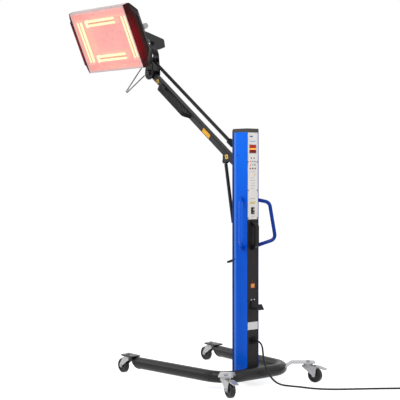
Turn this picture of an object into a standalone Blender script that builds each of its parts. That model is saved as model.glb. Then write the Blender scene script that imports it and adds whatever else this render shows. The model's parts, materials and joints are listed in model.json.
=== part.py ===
"""Infrared paint curing lamp on a wheeled stand.

Metres, +Z up. The stand is laid out with the column on the Z axis, the arm and the lamp head
towards -Y and the control panel towards +Y. At the end everything moves together, so that the
origin lies under the middle of the rigid object, on the floor.
"""
from math import asin, atan2, ceil, cos, hypot, pi, radians, sin, tan

import bmesh
import bpy
from mathutils import Matrix, Vector

# Clearances shared by every piece
SEAT_GAP = 0.0003
RUNNING_GAP = 0.0004
CUT_OVERRUN = 0.010
WELD_DEPTH = 0.0012

# Counts of facets
FINE_SIDES = 28
ROUND_SIDES = 20
SMALL_SIDES = 12

# Base: a bent round tube, open to the front
BASE_TUBE_RADIUS = 0.032
BASE_TUBE_HEIGHT = 0.070
CROSS_TUBE_Y = 0.098
LEG_REAR_X = 0.252
LEG_REAR_Y = -0.032
LEG_FRONT_X = 0.306
LEG_FRONT_Y = -0.600
LEG_BEND_RADIUS = 0.130
LEG_CUT_LOW_Y = -0.545
LEG_CUT_HIGH_Y = -0.591
END_PLATE_THICKNESS = 0.003
END_PLATE_RIM = 0.0018
FRONT_PLATE_WIDTH = 0.066
FRONT_PLATE_THICKNESS = 0.007
FRONT_PLATE_AHEAD = 0.030
FRONT_PLATE_BEHIND = 0.078
REAR_BAR_WIDTH = 0.076
REAR_BAR_THICKNESS = 0.006
REAR_BAR_INWARD = 0.125
REAR_BAR_OUTWARD = 0.038
REAR_BAR_ANGLE = radians(43)
REAR_BAR_BEND = 0.088
REAR_BAR_DROP = 0.0235
PLATE_CORNER = 0.012
FRONT_PLATE_BOTTOM = BASE_TUBE_HEIGHT + BASE_TUBE_RADIUS - WELD_DEPTH
REAR_BAR_BOTTOM = BASE_TUBE_HEIGHT + BASE_TUBE_RADIUS + SEAT_GAP

# Casters
WHEEL_RADIUS = 0.040
WHEEL_WIDTH = 0.028
WHEEL_SHOULDER = 0.004
HUB_WIDTH = 0.032
HUB_RADIUS = 0.012
RIM_RADIUS = 0.028
RIM_RECESS = 0.003
AXLE_RADIUS = 0.005
CASTER_TRAIL = 0.043
FRONT_AXIS_X = 0.311
FRONT_AXIS_Y = -0.645
REAR_AXIS_X = 0.300
REAR_AXIS_Y = 0.180
REAR_TRAIL_TURN = radians(14)
FORK_PLATE = 0.003
FORK_CROWN_HEIGHT = 0.0865
FORK_CROWN_AHEAD = 0.028
FORK_CROWN_BEHIND = 0.030
FORK_TOE_RADIUS = 0.011
RACEWAY_RADIUS = 0.026
STEM_RADIUS = 0.006
STEM_NUT_RADIUS = 0.0105
STEM_NUT_HEIGHT = 0.007
AXLE_HEAD_RADIUS = 0.0085
AXLE_HEAD_HEIGHT = 0.004
PEDAL_PIN_X = 0.056
PEDAL_PIN_Z = 0.0865
PEDAL_PIN_RADIUS = 0.003
PEDAL_BOSS_RADIUS = 0.0055
PEDAL_LENGTH = 0.054
PEDAL_DROP = 0.010
PEDAL_THICKNESS = 0.0045
PEDAL_SHOE = 0.006
PEDAL_SHOE_ANGLE = radians(35)

# Column: an H-section, open to the front
COLUMN_WIDTH = 0.083
COLUMN_DEPTH = 0.120
COLUMN_WALL = 0.003
COLUMN_CORNER = 0.004
COLUMN_BOTTOM = 0.0515
COLUMN_TOP = 1.3565
PANEL_HEIGHT = 0.466
PANEL_LIP = 0.001
WEB_FRONT_Y = 0.0165
CAP_HEIGHT = 0.020
CAP_PLUG = 0.006
CAP_CHAMFER = 0.009
COVER_RECESS = 0.002
COVER_WALL = 0.002
COVER_FLANGE = 0.014
PANEL_TOP = COLUMN_TOP - PANEL_LIP
COVER_TOP = PANEL_TOP - PANEL_HEIGHT
FOOT_THICKNESS = 0.006
FOOT_MARGIN = 0.014
FOOT_BACK_HEIGHT = 0.046
FOOT_BOLT_RADIUS = 0.0065
FOOT_BOLT_HEIGHT = 0.005
FOOT_BOLT_SPREAD_X = 0.026
FOOT_BOLT_SPREAD_Y = 0.040

# Controls on the rear face
DISPLAY_WIDTH = 0.048
DISPLAY_DROP = 0.0665
DISPLAY_HEIGHT = 0.044
DISPLAY_HIGH = PANEL_TOP - DISPLAY_DROP
DISPLAY_LOW = DISPLAY_HIGH - DISPLAY_HEIGHT
DISPLAY_THICKNESS = 0.003
KEY_RADIUS = 0.0042
KEY_SPACING = 0.018
KEY_DROP = 0.1935
KEY_HEIGHTS = (PANEL_TOP - KEY_DROP,)
KEY_STAND_OUT = 0.002
KEY_TRAVEL = 0.001
KEY_FLANGE = 0.0012
KEY_FLANGE_RADIUS = 0.0058
SWITCH_WIDTH = 0.018
SWITCH_RISE = 0.0305
SWITCH_HEIGHT = 0.031
SWITCH_LOW = COVER_TOP + SWITCH_RISE
SWITCH_HIGH = SWITCH_LOW + SWITCH_HEIGHT
SWITCH_CLEARANCE = 0.002
SWITCH_DEPTH = 0.012
SWITCH_STAND_OUT = 0.002
SWITCH_ROCK = 0.003
GRIP_DROP = 0.0095
GRIP_LENGTH = 0.155
GRIP_HIGH = COVER_TOP - GRIP_DROP
GRIP_LOW = GRIP_HIGH - GRIP_LENGTH
GRIP_WIDTH = 0.026
GRIP_REACH = 0.036
GRIP_THICKNESS = 0.011
GRIP_FOOT = 0.020
HOOK_LOW = 0.409
HOOK_BACK_HEIGHT = 0.041
HOOK_LIP_HEIGHT = 0.029
HOOK_WIDTH = 0.030
HOOK_REACH = 0.075
HOOK_LEAN = 0.020
HOOK_THICKNESS = 0.005
GLAND_HEIGHT = 0.240
GLAND_THREAD_RADIUS = 0.008
GLAND_FLANGE_RADIUS = 0.013
GLAND_FLANGE = 0.005
GLAND_LENGTH = 0.030

# Inside the rear of the column
BOARD_DROP = 0.0205
BOARD_HEIGHT = 0.250
BOARD_HIGH = PANEL_TOP - BOARD_DROP
BOARD_LOW = BOARD_HIGH - BOARD_HEIGHT
BOARD_WIDTH = 0.066
BOARD_THICKNESS = 0.0016
BOARD_Y = 0.036
BOARD_POST_RADIUS = 0.004
POWER_DROP = 0.1895
POWER_HEIGHT = 0.140
POWER_HIGH = COVER_TOP - POWER_DROP
POWER_LOW = POWER_HIGH - POWER_HEIGHT
POWER_WIDTH = 0.064
POWER_DEPTH = 0.030
POWER_FIN_COUNT = 6
POWER_FIN_THICKNESS = 0.003
POWER_BASE = 0.010

# Side handles
SIDE_HANDLE_RADIUS = 0.010
SIDE_HANDLE_DROP = 0.3595
SIDE_HANDLE_SPAN = 0.259
SIDE_HANDLE_HIGH = COLUMN_TOP - SIDE_HANDLE_DROP
SIDE_HANDLE_LOW = SIDE_HANDLE_HIGH - SIDE_HANDLE_SPAN
SIDE_HANDLE_SAG = 0.018
SIDE_HANDLE_LIFT = 0.042
SIDE_HANDLE_REACH_LOW = 0.120
SIDE_HANDLE_REACH_HIGH = 0.087
SIDE_HANDLE_BEND = 0.032
SIDE_HANDLE_Y = 0.016
SIDE_HANDLE_SPLAY = radians(45)
SIDE_HANDLE_TAB = 0.030
SIDE_HANDLE_TAB_THICKNESS = 0.004

# Arm, link rod and their pivots in the column
ARM_PIVOT_Y = -0.015
ARM_PIVOT_DROP = 0.2085
ARM_PIVOT_Z = COLUMN_TOP - ARM_PIVOT_DROP
ARM_LENGTH = 0.994
ARM_SLOPE = radians(36)
ARM_SIDE = 0.035
ARM_CORNER = 0.0025
LINK_OFFSET = 0.083
LINK_ROD_RADIUS = 0.010
LINK_EYE_RADIUS = 0.014
LINK_EYE_WIDTH = 0.0206
PIN_RADIUS = 0.006
COLLAR_RADIUS = 0.010
PIN_HEAD_RADIUS = 0.011
PIN_HEAD_HEIGHT = 0.006
ARM_GRIP_NEAR = 0.135
ARM_GRIP_LENGTH = 0.330
ARM_GRIP_REACH = 0.044
ARM_GRIP_THICKNESS = 0.022
ARM_GRIP_HEIGHT = 0.026
ARM_GRIP_FOOT = 0.040

# Gas spring under the arm
SPRING_EYE_ALONG = 0.151
SPRING_EYE_BELOW = 0.041
SPRING_EAR_THICKNESS = 0.004
SPRING_EAR_RADIUS = 0.014
SPRING_EAR_LENGTH = 0.060
SPRING_EYE_RADIUS = 0.009
SPRING_EYE_WIDTH = 0.016
SPRING_PIN_RADIUS = 0.004
SPRING_NECK_RADIUS = 0.006
SPRING_TUBE_RADIUS = 0.0095
SPRING_TUBE_LENGTH = 0.345
SPRING_BORE_RADIUS = 0.007
SPRING_END_WALL = 0.030
SPRING_SHAFT_RADIUS = 0.004
SPRING_PISTON_LENGTH = 0.012
SPRING_PISTON_DEPTH = 0.100
SPRING_FOOT_Y = -0.042
SPRING_FOOT_DROP = 0.592
SPRING_FOOT_Z = ARM_PIVOT_Z - SPRING_FOOT_DROP
SPRING_STUD_HALF = 0.0095
ANCHOR_EAR_THICKNESS = 0.004
ANCHOR_EAR_GAP = 0.0105
ANCHOR_HEIGHT = 0.070
ANCHOR_REACH = 0.064
ANCHOR_NOSE = 0.034
ANCHOR_BASE = 0.004

# Release lever in the front opening
LEVER_PIVOT_Y = -0.040
LEVER_DROP = 0.478
LEVER_PIVOT_Z = ARM_PIVOT_Z - LEVER_DROP
LEVER_REACH = 0.068
LEVER_DIP = 0.019
LEVER_WIDTH = 0.012
LEVER_X = 0.027
LEVER_BOSS_RADIUS = 0.008
LEVER_PIN_RADIUS = 0.004
LEVER_TIP_RADIUS = 0.0055

# Head link at the arm's end
CHEEK_INNER_X = 0.0215
CHEEK_THICKNESS = 0.0075
CHEEK_LOW_RADIUS = 0.038
CHEEK_HIGH_RADIUS = 0.024
CHEEK_TOP_RISE = 0.112
NECK_BLOCK_LOW = 0.116
NECK_BLOCK_HIGH = 0.140
NECK_BARREL_RADIUS = 0.0265
NECK_BARREL_HEIGHT = 0.018
SPINDLE_RADIUS = 0.009
SPINDLE_HEIGHT = 0.0165

# Swivel bracket between the head link and the head, in its own upright plane
BRACKET_WIDTH = 0.044
BRACKET_HUB_RADIUS = 0.024
BRACKET_HUB_HEIGHT = 0.0225
BRACKET_EYE_RADIUS = 0.019
BRACKET_FLOOR = 0.0016
BRACKET_LEAN = radians(15)
BRACKET_INNER_X = 0.0225
# Height and reach of the bracket's back, and of the slot between its legs, from the swivel's seat
BRACKET_BACK = ((0.049, 0.0985), (-0.066, 0.0705), (-0.074, 0.064), (-0.081, 0.026), (-0.076, 0.0195))
BRACKET_SLOT = ((0.016, 0.0209), (0.001, 0.0425), (0.037, 0.0545))

# Lamp head: place of the glass centre and attitude of its normal
HEAD_REACH = 0.363
HEAD_CENTRE_Z = 1.9000
HEAD_PAN = radians(4.3)
HEAD_TILT = radians(24.9)
FACE_WIDTH = 0.478
FACE_HEIGHT = 0.371
SHELL_DEPTH = 0.092
SHELL_WALL = 0.002
SHELL_FLANK = 0.045
SHELL_SHOULDER = 0.058
FRAME_WIDTH = 0.010
FRAME_DEPTH = 0.006
FRAME_LIP = 0.0012
GLASS_THICKNESS = 0.003
GLASS_EDGE = 0.006
REFLECTOR_DEPTH = 0.038
REFLECTOR_WALL = 0.0012
REFLECTOR_FLARE = 0.022
LAMP_RADIUS = 0.0048
LAMP_END_RADIUS = 0.0062
LAMP_END_LENGTH = 0.016
LAMP_LENGTH = 0.276
LAMP_DEPTH = 0.0135
LAMP_SIDE_INSET = 0.037
LAMP_TOP_INSET = 0.076
CAP_PLATE = 0.005
CAP_BULGE = 0.021
CAP_BULGE_INSET = 0.034
EAR_INNER = 0.0232
EAR_THICKNESS = 0.005
EAR_RADIUS = 0.017
EAR_ROOT = 0.048
TILT_BACK = 0.165
TILT_HEIGHT = 0.017
TILT_BOLT_RADIUS = 0.005
KNOB_RADIUS = 0.022
KNOB_HEIGHT = 0.016
KNOB_LOBES = 6
KNOB_WAIST_SHARE = 0.82
HEAD_GLAND_RADIUS = 0.012
HEAD_GLAND_LENGTH = 0.046
HEAD_GLAND_FOOT = 0.016
HEAD_GLAND_RISE = 0.020

# Wire gauge on the head link
GAUGE_WIRE_RADIUS = 0.0022
GAUGE_X = 0.041
GAUGE_REACH = 0.178
GAUGE_DROP = 0.165
GAUGE_POST_RADIUS = 0.0042
GAUGE_TURN = 0.0165
GAUGE_EYE_LOW = 0.018
GAUGE_EYE_HIGH = 0.066

# Mains lead, its coil and its plug
CORD_RADIUS = 0.005
COIL_TURNS = 7
COIL_MEAN_RADIUS = 0.060
COIL_PITCH = 0.0107
COIL_POINTS = 24
LEAD_HEADING = radians(142)
LEAD_TO_COIL = 0.122
PLUG_LENGTH = 0.042
PLUG_HALF_WIDTH = 0.0175
PLUG_HALF_HEIGHT = 0.0125
PLUG_PIN_RADIUS = 0.0024
PLUG_PIN_LENGTH = 0.019
PLUG_PIN_SPACING = 0.019
PLUG_AXIS = PLUG_HALF_HEIGHT + SEAT_GAP
CORD_REST = CORD_RADIUS + SEAT_GAP
LEAD_SPACING = 0.022
TAIL_STEPS = 6
TAIL_LENGTH = 0.085
TAIL_SWING = 0.012

# Profiles drawn along X use (Y, Z); those drawn along Y use (X, Z)
ALONG_X = Matrix(((0, 0, 1, 0), (1, 0, 0, 0), (0, 1, 0, 0), (0, 0, 0, 1)))
ALONG_Y = Matrix(((1, 0, 0, 0), (0, 0, -1, 0), (0, 1, 0, 0), (0, 0, 0, 1)))
UPRIGHT = Matrix.Identity(4)


# Modelling tools

def solid(points, faces):
    """A loose mesh object made from points and faces that point outwards."""
    mesh = bpy.data.meshes.new("work")
    mesh.from_pydata([tuple(point) for point in points], [], faces)
    mesh.update()
    made = bpy.data.objects.new("work", mesh)
    bpy.context.collection.objects.link(made)
    return made


def prism(outline, low, high, frame=UPRIGHT):
    """A counterclockwise outline pushed from low to high along the frame's third axis."""
    count = len(outline)
    points = [frame @ Vector((u, v, low)) for u, v in outline]
    points += [frame @ Vector((u, v, high)) for u, v in outline]
    faces = [tuple(reversed(range(count))), tuple(range(count, 2 * count))]
    faces += [(i, (i + 1) % count, count + (i + 1) % count, count + i) for i in range(count)]
    return solid(points, faces)


def block(low, high, frame=UPRIGHT):
    """A box between two corners."""
    outline = ((low[0], low[1]), (high[0], low[1]), (high[0], high[1]), (low[0], high[1]))
    return prism(outline, low[2], high[2], frame)


def loft(sections):
    """A skin over sections that have the same number of points, closed at both ends."""
    count = len(sections[0])
    points = [point for section in sections for point in section]
    faces = [tuple(reversed(range(count)))]
    faces.append(tuple(range(len(points) - count, len(points))))
    for layer in range(len(sections) - 1):
        base = layer * count
        for i in range(count):
            j = (i + 1) % count
            faces.append((base + i, base + j, base + count + j, base + count + i))
    return solid(points, faces)


def turned(profile, frame=UPRIGHT, sides=ROUND_SIDES, ring=False):
    """A profile of (radius, height), its outer side rising, turned about the frame's third axis."""
    turns = [2 * pi * side / sides for side in range(sides)]
    points = [frame @ Vector((radius * cos(turn), radius * sin(turn), height))
              for radius, height in profile for turn in turns]
    rings = [list(range(i * sides, i * sides + sides)) for i in range(len(profile))]
    pairs = list(zip(rings, rings[1:]))
    faces = []
    if ring:
        pairs.append((rings[-1], rings[0]))
    else:
        faces = [tuple(reversed(rings[0])), tuple(rings[-1])]
    for lower, upper in pairs:
        for side in range(sides):
            after = (side + 1) % sides
            faces.append((lower[side], lower[after], upper[after], upper[side]))
    return solid(points, faces)


def bar(start, end, radius, sides=ROUND_SIDES):
    """A round bar between two points."""
    start, end = Vector(start), Vector(end)
    frame = pointing(start, end - start)
    return turned(((radius, 0), (radius, (end - start).length)), frame, sides)


def pointing(place, direction):
    """A frame at a place whose third axis points along a direction."""
    turn = Vector(direction).to_track_quat("Z", "Y")
    return Matrix.Translation(Vector(place)) @ turn.to_matrix().to_4x4()


def tube(points, radius, resolution=3):
    """A round tube along points, as a bevelled curve with filled caps."""
    curve = bpy.data.curves.new("work", "CURVE")
    curve.dimensions = "3D"
    curve.bevel_depth = radius
    curve.bevel_resolution = resolution
    curve.use_fill_caps = True
    spline = curve.splines.new("POLY")
    spline.points.add(len(points) - 1)
    for point, place in zip(spline.points, points):
        point.co = (*place, 1)
    path = bpy.data.objects.new("work", curve)
    bpy.context.collection.objects.link(path)
    made = solid((), ())
    made.data = evaluated_mesh(path)
    bpy.data.objects.remove(path, do_unlink=True)
    shape = bmesh.new()
    shape.from_mesh(made.data)
    bmesh.ops.remove_doubles(shape, verts=shape.verts, dist=RUNNING_GAP / FINE_SIDES)
    bmesh.ops.recalc_face_normals(shape, faces=shape.faces)
    shape.to_mesh(made.data)
    shape.free()
    return made


def evaluated_mesh(made):
    """The mesh of an object with its modifiers in effect."""
    graph = bpy.context.evaluated_depsgraph_get()
    graph.update()
    return bpy.data.meshes.new_from_object(made.evaluated_get(graph))


def combine(target, tools, operation):
    """Joins tools to a target, or cuts them out of it, and clears them away."""
    for tool in tools:
        modifier = target.modifiers.new("combine", "BOOLEAN")
        modifier.operation = operation
        modifier.solver = "EXACT"
        modifier.object = tool
        mesh = evaluated_mesh(target)
        target.modifiers.clear()
        target.data = mesh
        bpy.data.objects.remove(tool, do_unlink=True)
    return target


def join(target, *tools):
    return combine(target, tools, "UNION")


def cut(target, *tools):
    return combine(target, tools, "DIFFERENCE")


def rounded(corners, radius, steps=4, closed=True):
    """Corners of an outline or a path with an arc at each; radius is a number or one per corner."""
    count = len(corners)
    points = []
    for i, corner in enumerate(corners):
        size = radius[i] if isinstance(radius, (tuple, list)) else radius
        if size == 0 or (not closed and i in (0, count - 1)):
            points.append(Vector(corner))
            continue
        here = Vector(corner)
        back = (Vector(corners[i - 1]) - here).normalized()
        ahead = (Vector(corners[(i + 1) % count]) - here).normalized()
        half = back.angle(ahead) / 2
        middle = here + (back + ahead).normalized() * (size / sin(half))
        first = here + back * (size / tan(half)) - middle
        last = here + ahead * (size / tan(half)) - middle
        sweep = pi - 2 * half
        for step in range(steps + 1):
            share = step / steps
            weight_first = sin((1 - share) * sweep) / sin(sweep)
            weight_last = sin(share * sweep) / sin(sweep)
            points.append(middle + first * weight_first + last * weight_last)
    return points


def disc_outline(centre, radius, sides=ROUND_SIDES, start=0.0, sweep=2 * pi):
    """Points on a circle or an arc, counterclockwise."""
    whole = abs(sweep - 2 * pi) < SEAT_GAP
    steps = sides if whole else sides - 1
    return [(centre[0] + radius * cos(start + sweep * i / steps),
             centre[1] + radius * sin(start + sweep * i / steps)) for i in range(sides)]


def strap_outline(first, first_radius, second, second_radius, sides=SMALL_SIDES):
    """The outline round two circles, counterclockwise."""
    apart = hypot(second[0] - first[0], second[1] - first[1])
    heading = atan2(second[1] - first[1], second[0] - first[0])
    lean = asin((first_radius - second_radius) / apart)
    around = disc_outline(first, first_radius, sides, heading + pi / 2 - lean, pi + 2 * lean)
    return around + disc_outline(second, second_radius, sides, heading - pi / 2 + lean, pi - 2 * lean)


def rectangle(low_u, low_v, high_u, high_v):
    return ((low_u, low_v), (high_u, low_v), (high_u, high_v), (low_u, high_v))


def paint(name, colour, roughness, metallic=0.0):
    """A Principled material."""
    made = bpy.data.materials.new(name)
    made.use_nodes = True
    shader = made.node_tree.nodes["Principled BSDF"]
    shader.inputs["Base Color"].default_value = (*colour, 1)
    shader.inputs["Roughness"].default_value = roughness
    shader.inputs["Metallic"].default_value = metallic
    made.diffuse_color = (*colour, 1)
    return made


def carrier(name, place, parent=None):
    """An empty on a joint's axis, which carries the pieces of one moving body."""
    made = bpy.data.objects.new(name, None)
    bpy.context.collection.objects.link(made)
    made.location = Vector(place)
    if parent:
        made.parent = parent
        made.location = Vector(place) - world_place(parent)
    made["place"] = tuple(place)
    return made


def world_place(empty):
    return Vector(empty["place"])


def keep(name, made, material, body):
    """Names a finished piece, paints it and hangs it on its body's empty."""
    made.name = name
    made.data.name = name
    made.data.materials.clear()
    made.data.materials.append(material)
    made.data.transform(Matrix.Translation(-world_place(body)))
    made.parent = body
    made.data.shade_smooth()
    made.data.set_sharp_from_angle(angle=radians(35))
    return made


# Base frame

def base_centreline():
    """Half of the bent tube's centreline, from a leg's end to the middle of the cross tube."""
    splay = (LEG_FRONT_X - LEG_REAR_X) / (LEG_REAR_Y - LEG_FRONT_Y)
    ahead = LEG_CUT_HIGH_Y - BASE_TUBE_RADIUS
    corner_x = LEG_REAR_X - splay * (CROSS_TUBE_Y - LEG_REAR_Y)
    front_x = LEG_FRONT_X + splay * (LEG_FRONT_Y - ahead)
    corners = ((front_x, ahead, BASE_TUBE_HEIGHT), (corner_x, CROSS_TUBE_Y, BASE_TUBE_HEIGHT),
               (-corner_x, CROSS_TUBE_Y, BASE_TUBE_HEIGHT), (-front_x, ahead, BASE_TUBE_HEIGHT))
    return rounded(corners, LEG_BEND_RADIUS, steps=9, closed=False)


def leg_cut_line(offset):
    """Where the oblique cut of the legs crosses two heights, moved forward by an offset."""
    low, high = BASE_TUBE_HEIGHT - BASE_TUBE_RADIUS, BASE_TUBE_HEIGHT + BASE_TUBE_RADIUS
    slope = (LEG_CUT_HIGH_Y - LEG_CUT_LOW_Y) / (high - low)
    bottom, top = low - CUT_OVERRUN, high + CUT_OVERRUN
    return ((LEG_CUT_LOW_Y - offset - slope * CUT_OVERRUN, bottom),
            (LEG_CUT_HIGH_Y - offset + slope * CUT_OVERRUN, top))


def base_frame():
    path = base_centreline()
    frame = tube(path, BASE_TUBE_RADIUS, resolution=6)
    reach = LEG_FRONT_X + BASE_TUBE_RADIUS + CUT_OVERRUN
    (low_y, low_z), (high_y, high_z) = leg_cut_line(0)
    ahead = high_y - 2 * BASE_TUBE_RADIUS
    cutter = prism(((ahead, low_z), (low_y, low_z), (high_y, high_z), (ahead, high_z)),
                   -reach, reach, ALONG_X)
    frame = cut(frame, cutter)
    for side in (-1, 1):
        foot = path[0] if side > 0 else path[-1]
        behind = path[1] if side > 0 else path[-2]
        rim = bar(foot, behind, BASE_TUBE_RADIUS + END_PLATE_RIM, FINE_SIDES)
        near, far = leg_cut_line(-WELD_DEPTH), leg_cut_line(END_PLATE_THICKNESS)
        sheet = prism((far[0], near[0], near[1], far[1]), -reach, reach, ALONG_X)
        top = block((-reach, ahead, BASE_TUBE_HEIGHT + BASE_TUBE_RADIUS),
                    (reach, LEG_REAR_Y, BASE_TUBE_HEIGHT + 2 * BASE_TUBE_RADIUS))
        rim = cut(combine(rim, [sheet], "INTERSECT"), top)
        frame = join(frame, rim)
        half = FRONT_PLATE_WIDTH / 2
        outline = rounded(rectangle(side * FRONT_AXIS_X - half, FRONT_AXIS_Y - FRONT_PLATE_AHEAD,
                                    side * FRONT_AXIS_X + half, FRONT_AXIS_Y + FRONT_PLATE_BEHIND),
                          PLATE_CORNER, steps=3)
        plate = prism(outline, FRONT_PLATE_BOTTOM, FRONT_PLATE_BOTTOM + FRONT_PLATE_THICKNESS)
        frame = join(frame, plate)
        hole = bar((side * FRONT_AXIS_X, FRONT_AXIS_Y, 0),
                   (side * FRONT_AXIS_X, FRONT_AXIS_Y, 2 * FRONT_PLATE_BOTTOM),
                   STEM_RADIUS + RUNNING_GAP)
        frame = cut(frame, hole)
    return frame


def rear_bar(side):
    """A flat bar with the hole of a rear caster. Its inner end bends down to the bent tube's flank."""
    frame = (Matrix.Translation(Vector((side * REAR_AXIS_X, REAR_AXIS_Y, 0)))
             @ Matrix.Rotation(REAR_BAR_ANGLE if side > 0 else pi - REAR_BAR_ANGLE, 4, "Z"))
    half = REAR_BAR_WIDTH / 2
    low, high = REAR_BAR_BOTTOM, REAR_BAR_BOTTOM + REAR_BAR_THICKNESS
    bend, toe = -REAR_BAR_BEND, -REAR_BAR_INWARD
    fold = ((REAR_BAR_OUTWARD, low), (REAR_BAR_OUTWARD, high), (bend - REAR_BAR_THICKNESS / 3, high),
            (toe - REAR_BAR_THICKNESS / 2, high - REAR_BAR_DROP), (toe, low - REAR_BAR_DROP), (bend, low))
    strip = prism(fold, -half, half, frame @ ALONG_Y)
    wide = half + WELD_DEPTH
    plan = rounded(rectangle(toe - REAR_BAR_THICKNESS, -wide, REAR_BAR_OUTWARD + WELD_DEPTH, wide),
                   (0, PLATE_CORNER, PLATE_CORNER, 0), 3)
    strip = combine(strip, [prism(plan, low - 2 * REAR_BAR_DROP, high + WELD_DEPTH, frame)], "INTERSECT")
    bent = tube(base_centreline(), BASE_TUBE_RADIUS / cos(pi / FINE_SIDES) + SEAT_GAP, resolution=6)
    hole = bar(frame @ Vector((0, 0, 0)), frame @ Vector((0, 0, 2 * REAR_BAR_BOTTOM)),
               STEM_RADIUS + RUNNING_GAP)
    return cut(strip, bent, hole)


# Casters, drawn with the king pin on the Z axis and the wheel trailing towards +X

def caster_fork(frame, plate_bottom, plate_thickness, braked):
    inner = HUB_WIDTH / 2 + RUNNING_GAP
    outer = inner + FORK_PLATE
    crown_top = FORK_CROWN_HEIGHT + FORK_PLATE
    behind = PEDAL_PIN_X + PEDAL_BOSS_RADIUS if braked else FORK_CROWN_BEHIND
    toe = disc_outline((CASTER_TRAIL, WHEEL_RADIUS), FORK_TOE_RADIUS, SMALL_SIDES, pi, pi)
    lug_low = PEDAL_PIN_Z - PEDAL_BOSS_RADIUS
    outline = toe + [(CASTER_TRAIL + FORK_TOE_RADIUS, 2 * FORK_CROWN_HEIGHT - 2 * lug_low + WHEEL_RADIUS),
                     (behind, lug_low), (behind, crown_top), (-FORK_CROWN_AHEAD, crown_top),
                     (-FORK_CROWN_AHEAD, lug_low)]
    to_cheek = frame @ ALONG_Y
    weld = WELD_DEPTH / 3
    middle = (inner + outer) / 2
    fork = block((-FORK_CROWN_AHEAD + weld, -middle, FORK_CROWN_HEIGHT),
                 (FORK_CROWN_BEHIND - weld, middle, crown_top - weld), frame)
    for low, high in ((inner, outer), (-outer, -inner)):
        fork = join(fork, prism(outline, low, high, to_cheek))
    race_top = plate_bottom - SEAT_GAP
    nut_low = plate_bottom + plate_thickness + SEAT_GAP
    race = turned(((RACEWAY_RADIUS - WELD_DEPTH, crown_top - WELD_DEPTH),
                   (RACEWAY_RADIUS, (crown_top + race_top) / 2), (RACEWAY_RADIUS - WELD_DEPTH, race_top),
                   (STEM_RADIUS, race_top), (STEM_RADIUS, nut_low), (STEM_NUT_RADIUS, nut_low),
                   (STEM_NUT_RADIUS, nut_low + STEM_NUT_HEIGHT),
                   (STEM_RADIUS, nut_low + STEM_NUT_HEIGHT + WELD_DEPTH)), frame)
    fork = join(fork, race)
    reach = outer + AXLE_HEAD_HEIGHT
    fork = join(fork, bar(frame @ Vector((CASTER_TRAIL, -outer - WELD_DEPTH, WHEEL_RADIUS)),
                          frame @ Vector((CASTER_TRAIL, outer + WELD_DEPTH, WHEEL_RADIUS)),
                          AXLE_RADIUS))
    for side in (-1, 1):
        fork = join(fork, bar(frame @ Vector((CASTER_TRAIL, side * (outer - WELD_DEPTH), WHEEL_RADIUS)),
                              frame @ Vector((CASTER_TRAIL, side * reach, WHEEL_RADIUS)),
                              AXLE_HEAD_RADIUS, SMALL_SIDES // 2))
    if braked:
        fork = join(fork, bar(frame @ Vector((PEDAL_PIN_X, -outer - WELD_DEPTH, PEDAL_PIN_Z)),
                              frame @ Vector((PEDAL_PIN_X, outer + WELD_DEPTH, PEDAL_PIN_Z)),
                              PEDAL_PIN_RADIUS, SMALL_SIDES))
    return fork


def caster_wheel(frame):
    bore = AXLE_RADIUS / cos(pi / ROUND_SIDES) + RUNNING_GAP
    half, hub = WHEEL_WIDTH / 2, HUB_WIDTH / 2
    web = half - RIM_RECESS
    rising = ((bore, -hub), (HUB_RADIUS, -hub), (HUB_RADIUS, -web), (RIM_RADIUS, -web),
              (RIM_RADIUS, -half), (WHEEL_RADIUS - WHEEL_SHOULDER, -half),
              (WHEEL_RADIUS, -half + WHEEL_SHOULDER), (WHEEL_RADIUS, half - WHEEL_SHOULDER),
              (WHEEL_RADIUS - WHEEL_SHOULDER, half), (RIM_RADIUS, half), (RIM_RADIUS, web),
              (HUB_RADIUS, web), (HUB_RADIUS, hub), (bore, hub))
    axis = frame @ Matrix.Translation(Vector((CASTER_TRAIL, 0, WHEEL_RADIUS))) @ ALONG_Y
    return turned(rising, axis, FINE_SIDES, ring=True)


def brake_pedal(frame):
    half = HUB_WIDTH / 2 - RUNNING_GAP
    tip = (PEDAL_PIN_X + PEDAL_LENGTH, PEDAL_PIN_Z - PEDAL_DROP)
    boss = disc_outline((PEDAL_PIN_X, PEDAL_PIN_Z), PEDAL_BOSS_RADIUS, SMALL_SIDES)
    shoe_x = CASTER_TRAIL + WHEEL_RADIUS * sin(PEDAL_SHOE_ANGLE)
    arm_top = PEDAL_PIN_Z + PEDAL_BOSS_RADIUS / 2
    outline = ((PEDAL_PIN_X, PEDAL_PIN_Z - PEDAL_THICKNESS / 2), (shoe_x, PEDAL_PIN_Z - PEDAL_SHOE),
               (shoe_x + PEDAL_SHOE, PEDAL_PIN_Z - PEDAL_SHOE), (tip[0], tip[1] - PEDAL_THICKNESS / 2),
               (tip[0] + PEDAL_THICKNESS / 2, tip[1]), (tip[0], tip[1] + PEDAL_THICKNESS / 2),
               (shoe_x + PEDAL_SHOE, arm_top), (PEDAL_PIN_X, arm_top))
    to_side = frame @ ALONG_Y
    pedal = join(prism(outline, -half, half, to_side), prism(boss, -half, half, to_side))
    return cut(pedal, bar(frame @ Vector((PEDAL_PIN_X, -2 * half, PEDAL_PIN_Z)),
                          frame @ Vector((PEDAL_PIN_X, 2 * half, PEDAL_PIN_Z)),
                          PEDAL_PIN_RADIUS / cos(pi / SMALL_SIDES) + RUNNING_GAP, SMALL_SIDES))


# Column

HALF_WIDTH = COLUMN_WIDTH / 2
HALF_DEPTH = COLUMN_DEPTH / 2
INNER_X = HALF_WIDTH - COLUMN_WALL
WEB_REAR_Y = WEB_FRONT_Y + COLUMN_WALL
COVER_FACE_Y = HALF_DEPTH - COVER_RECESS
COVER_BACK_Y = COVER_FACE_Y - COVER_WALL


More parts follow.
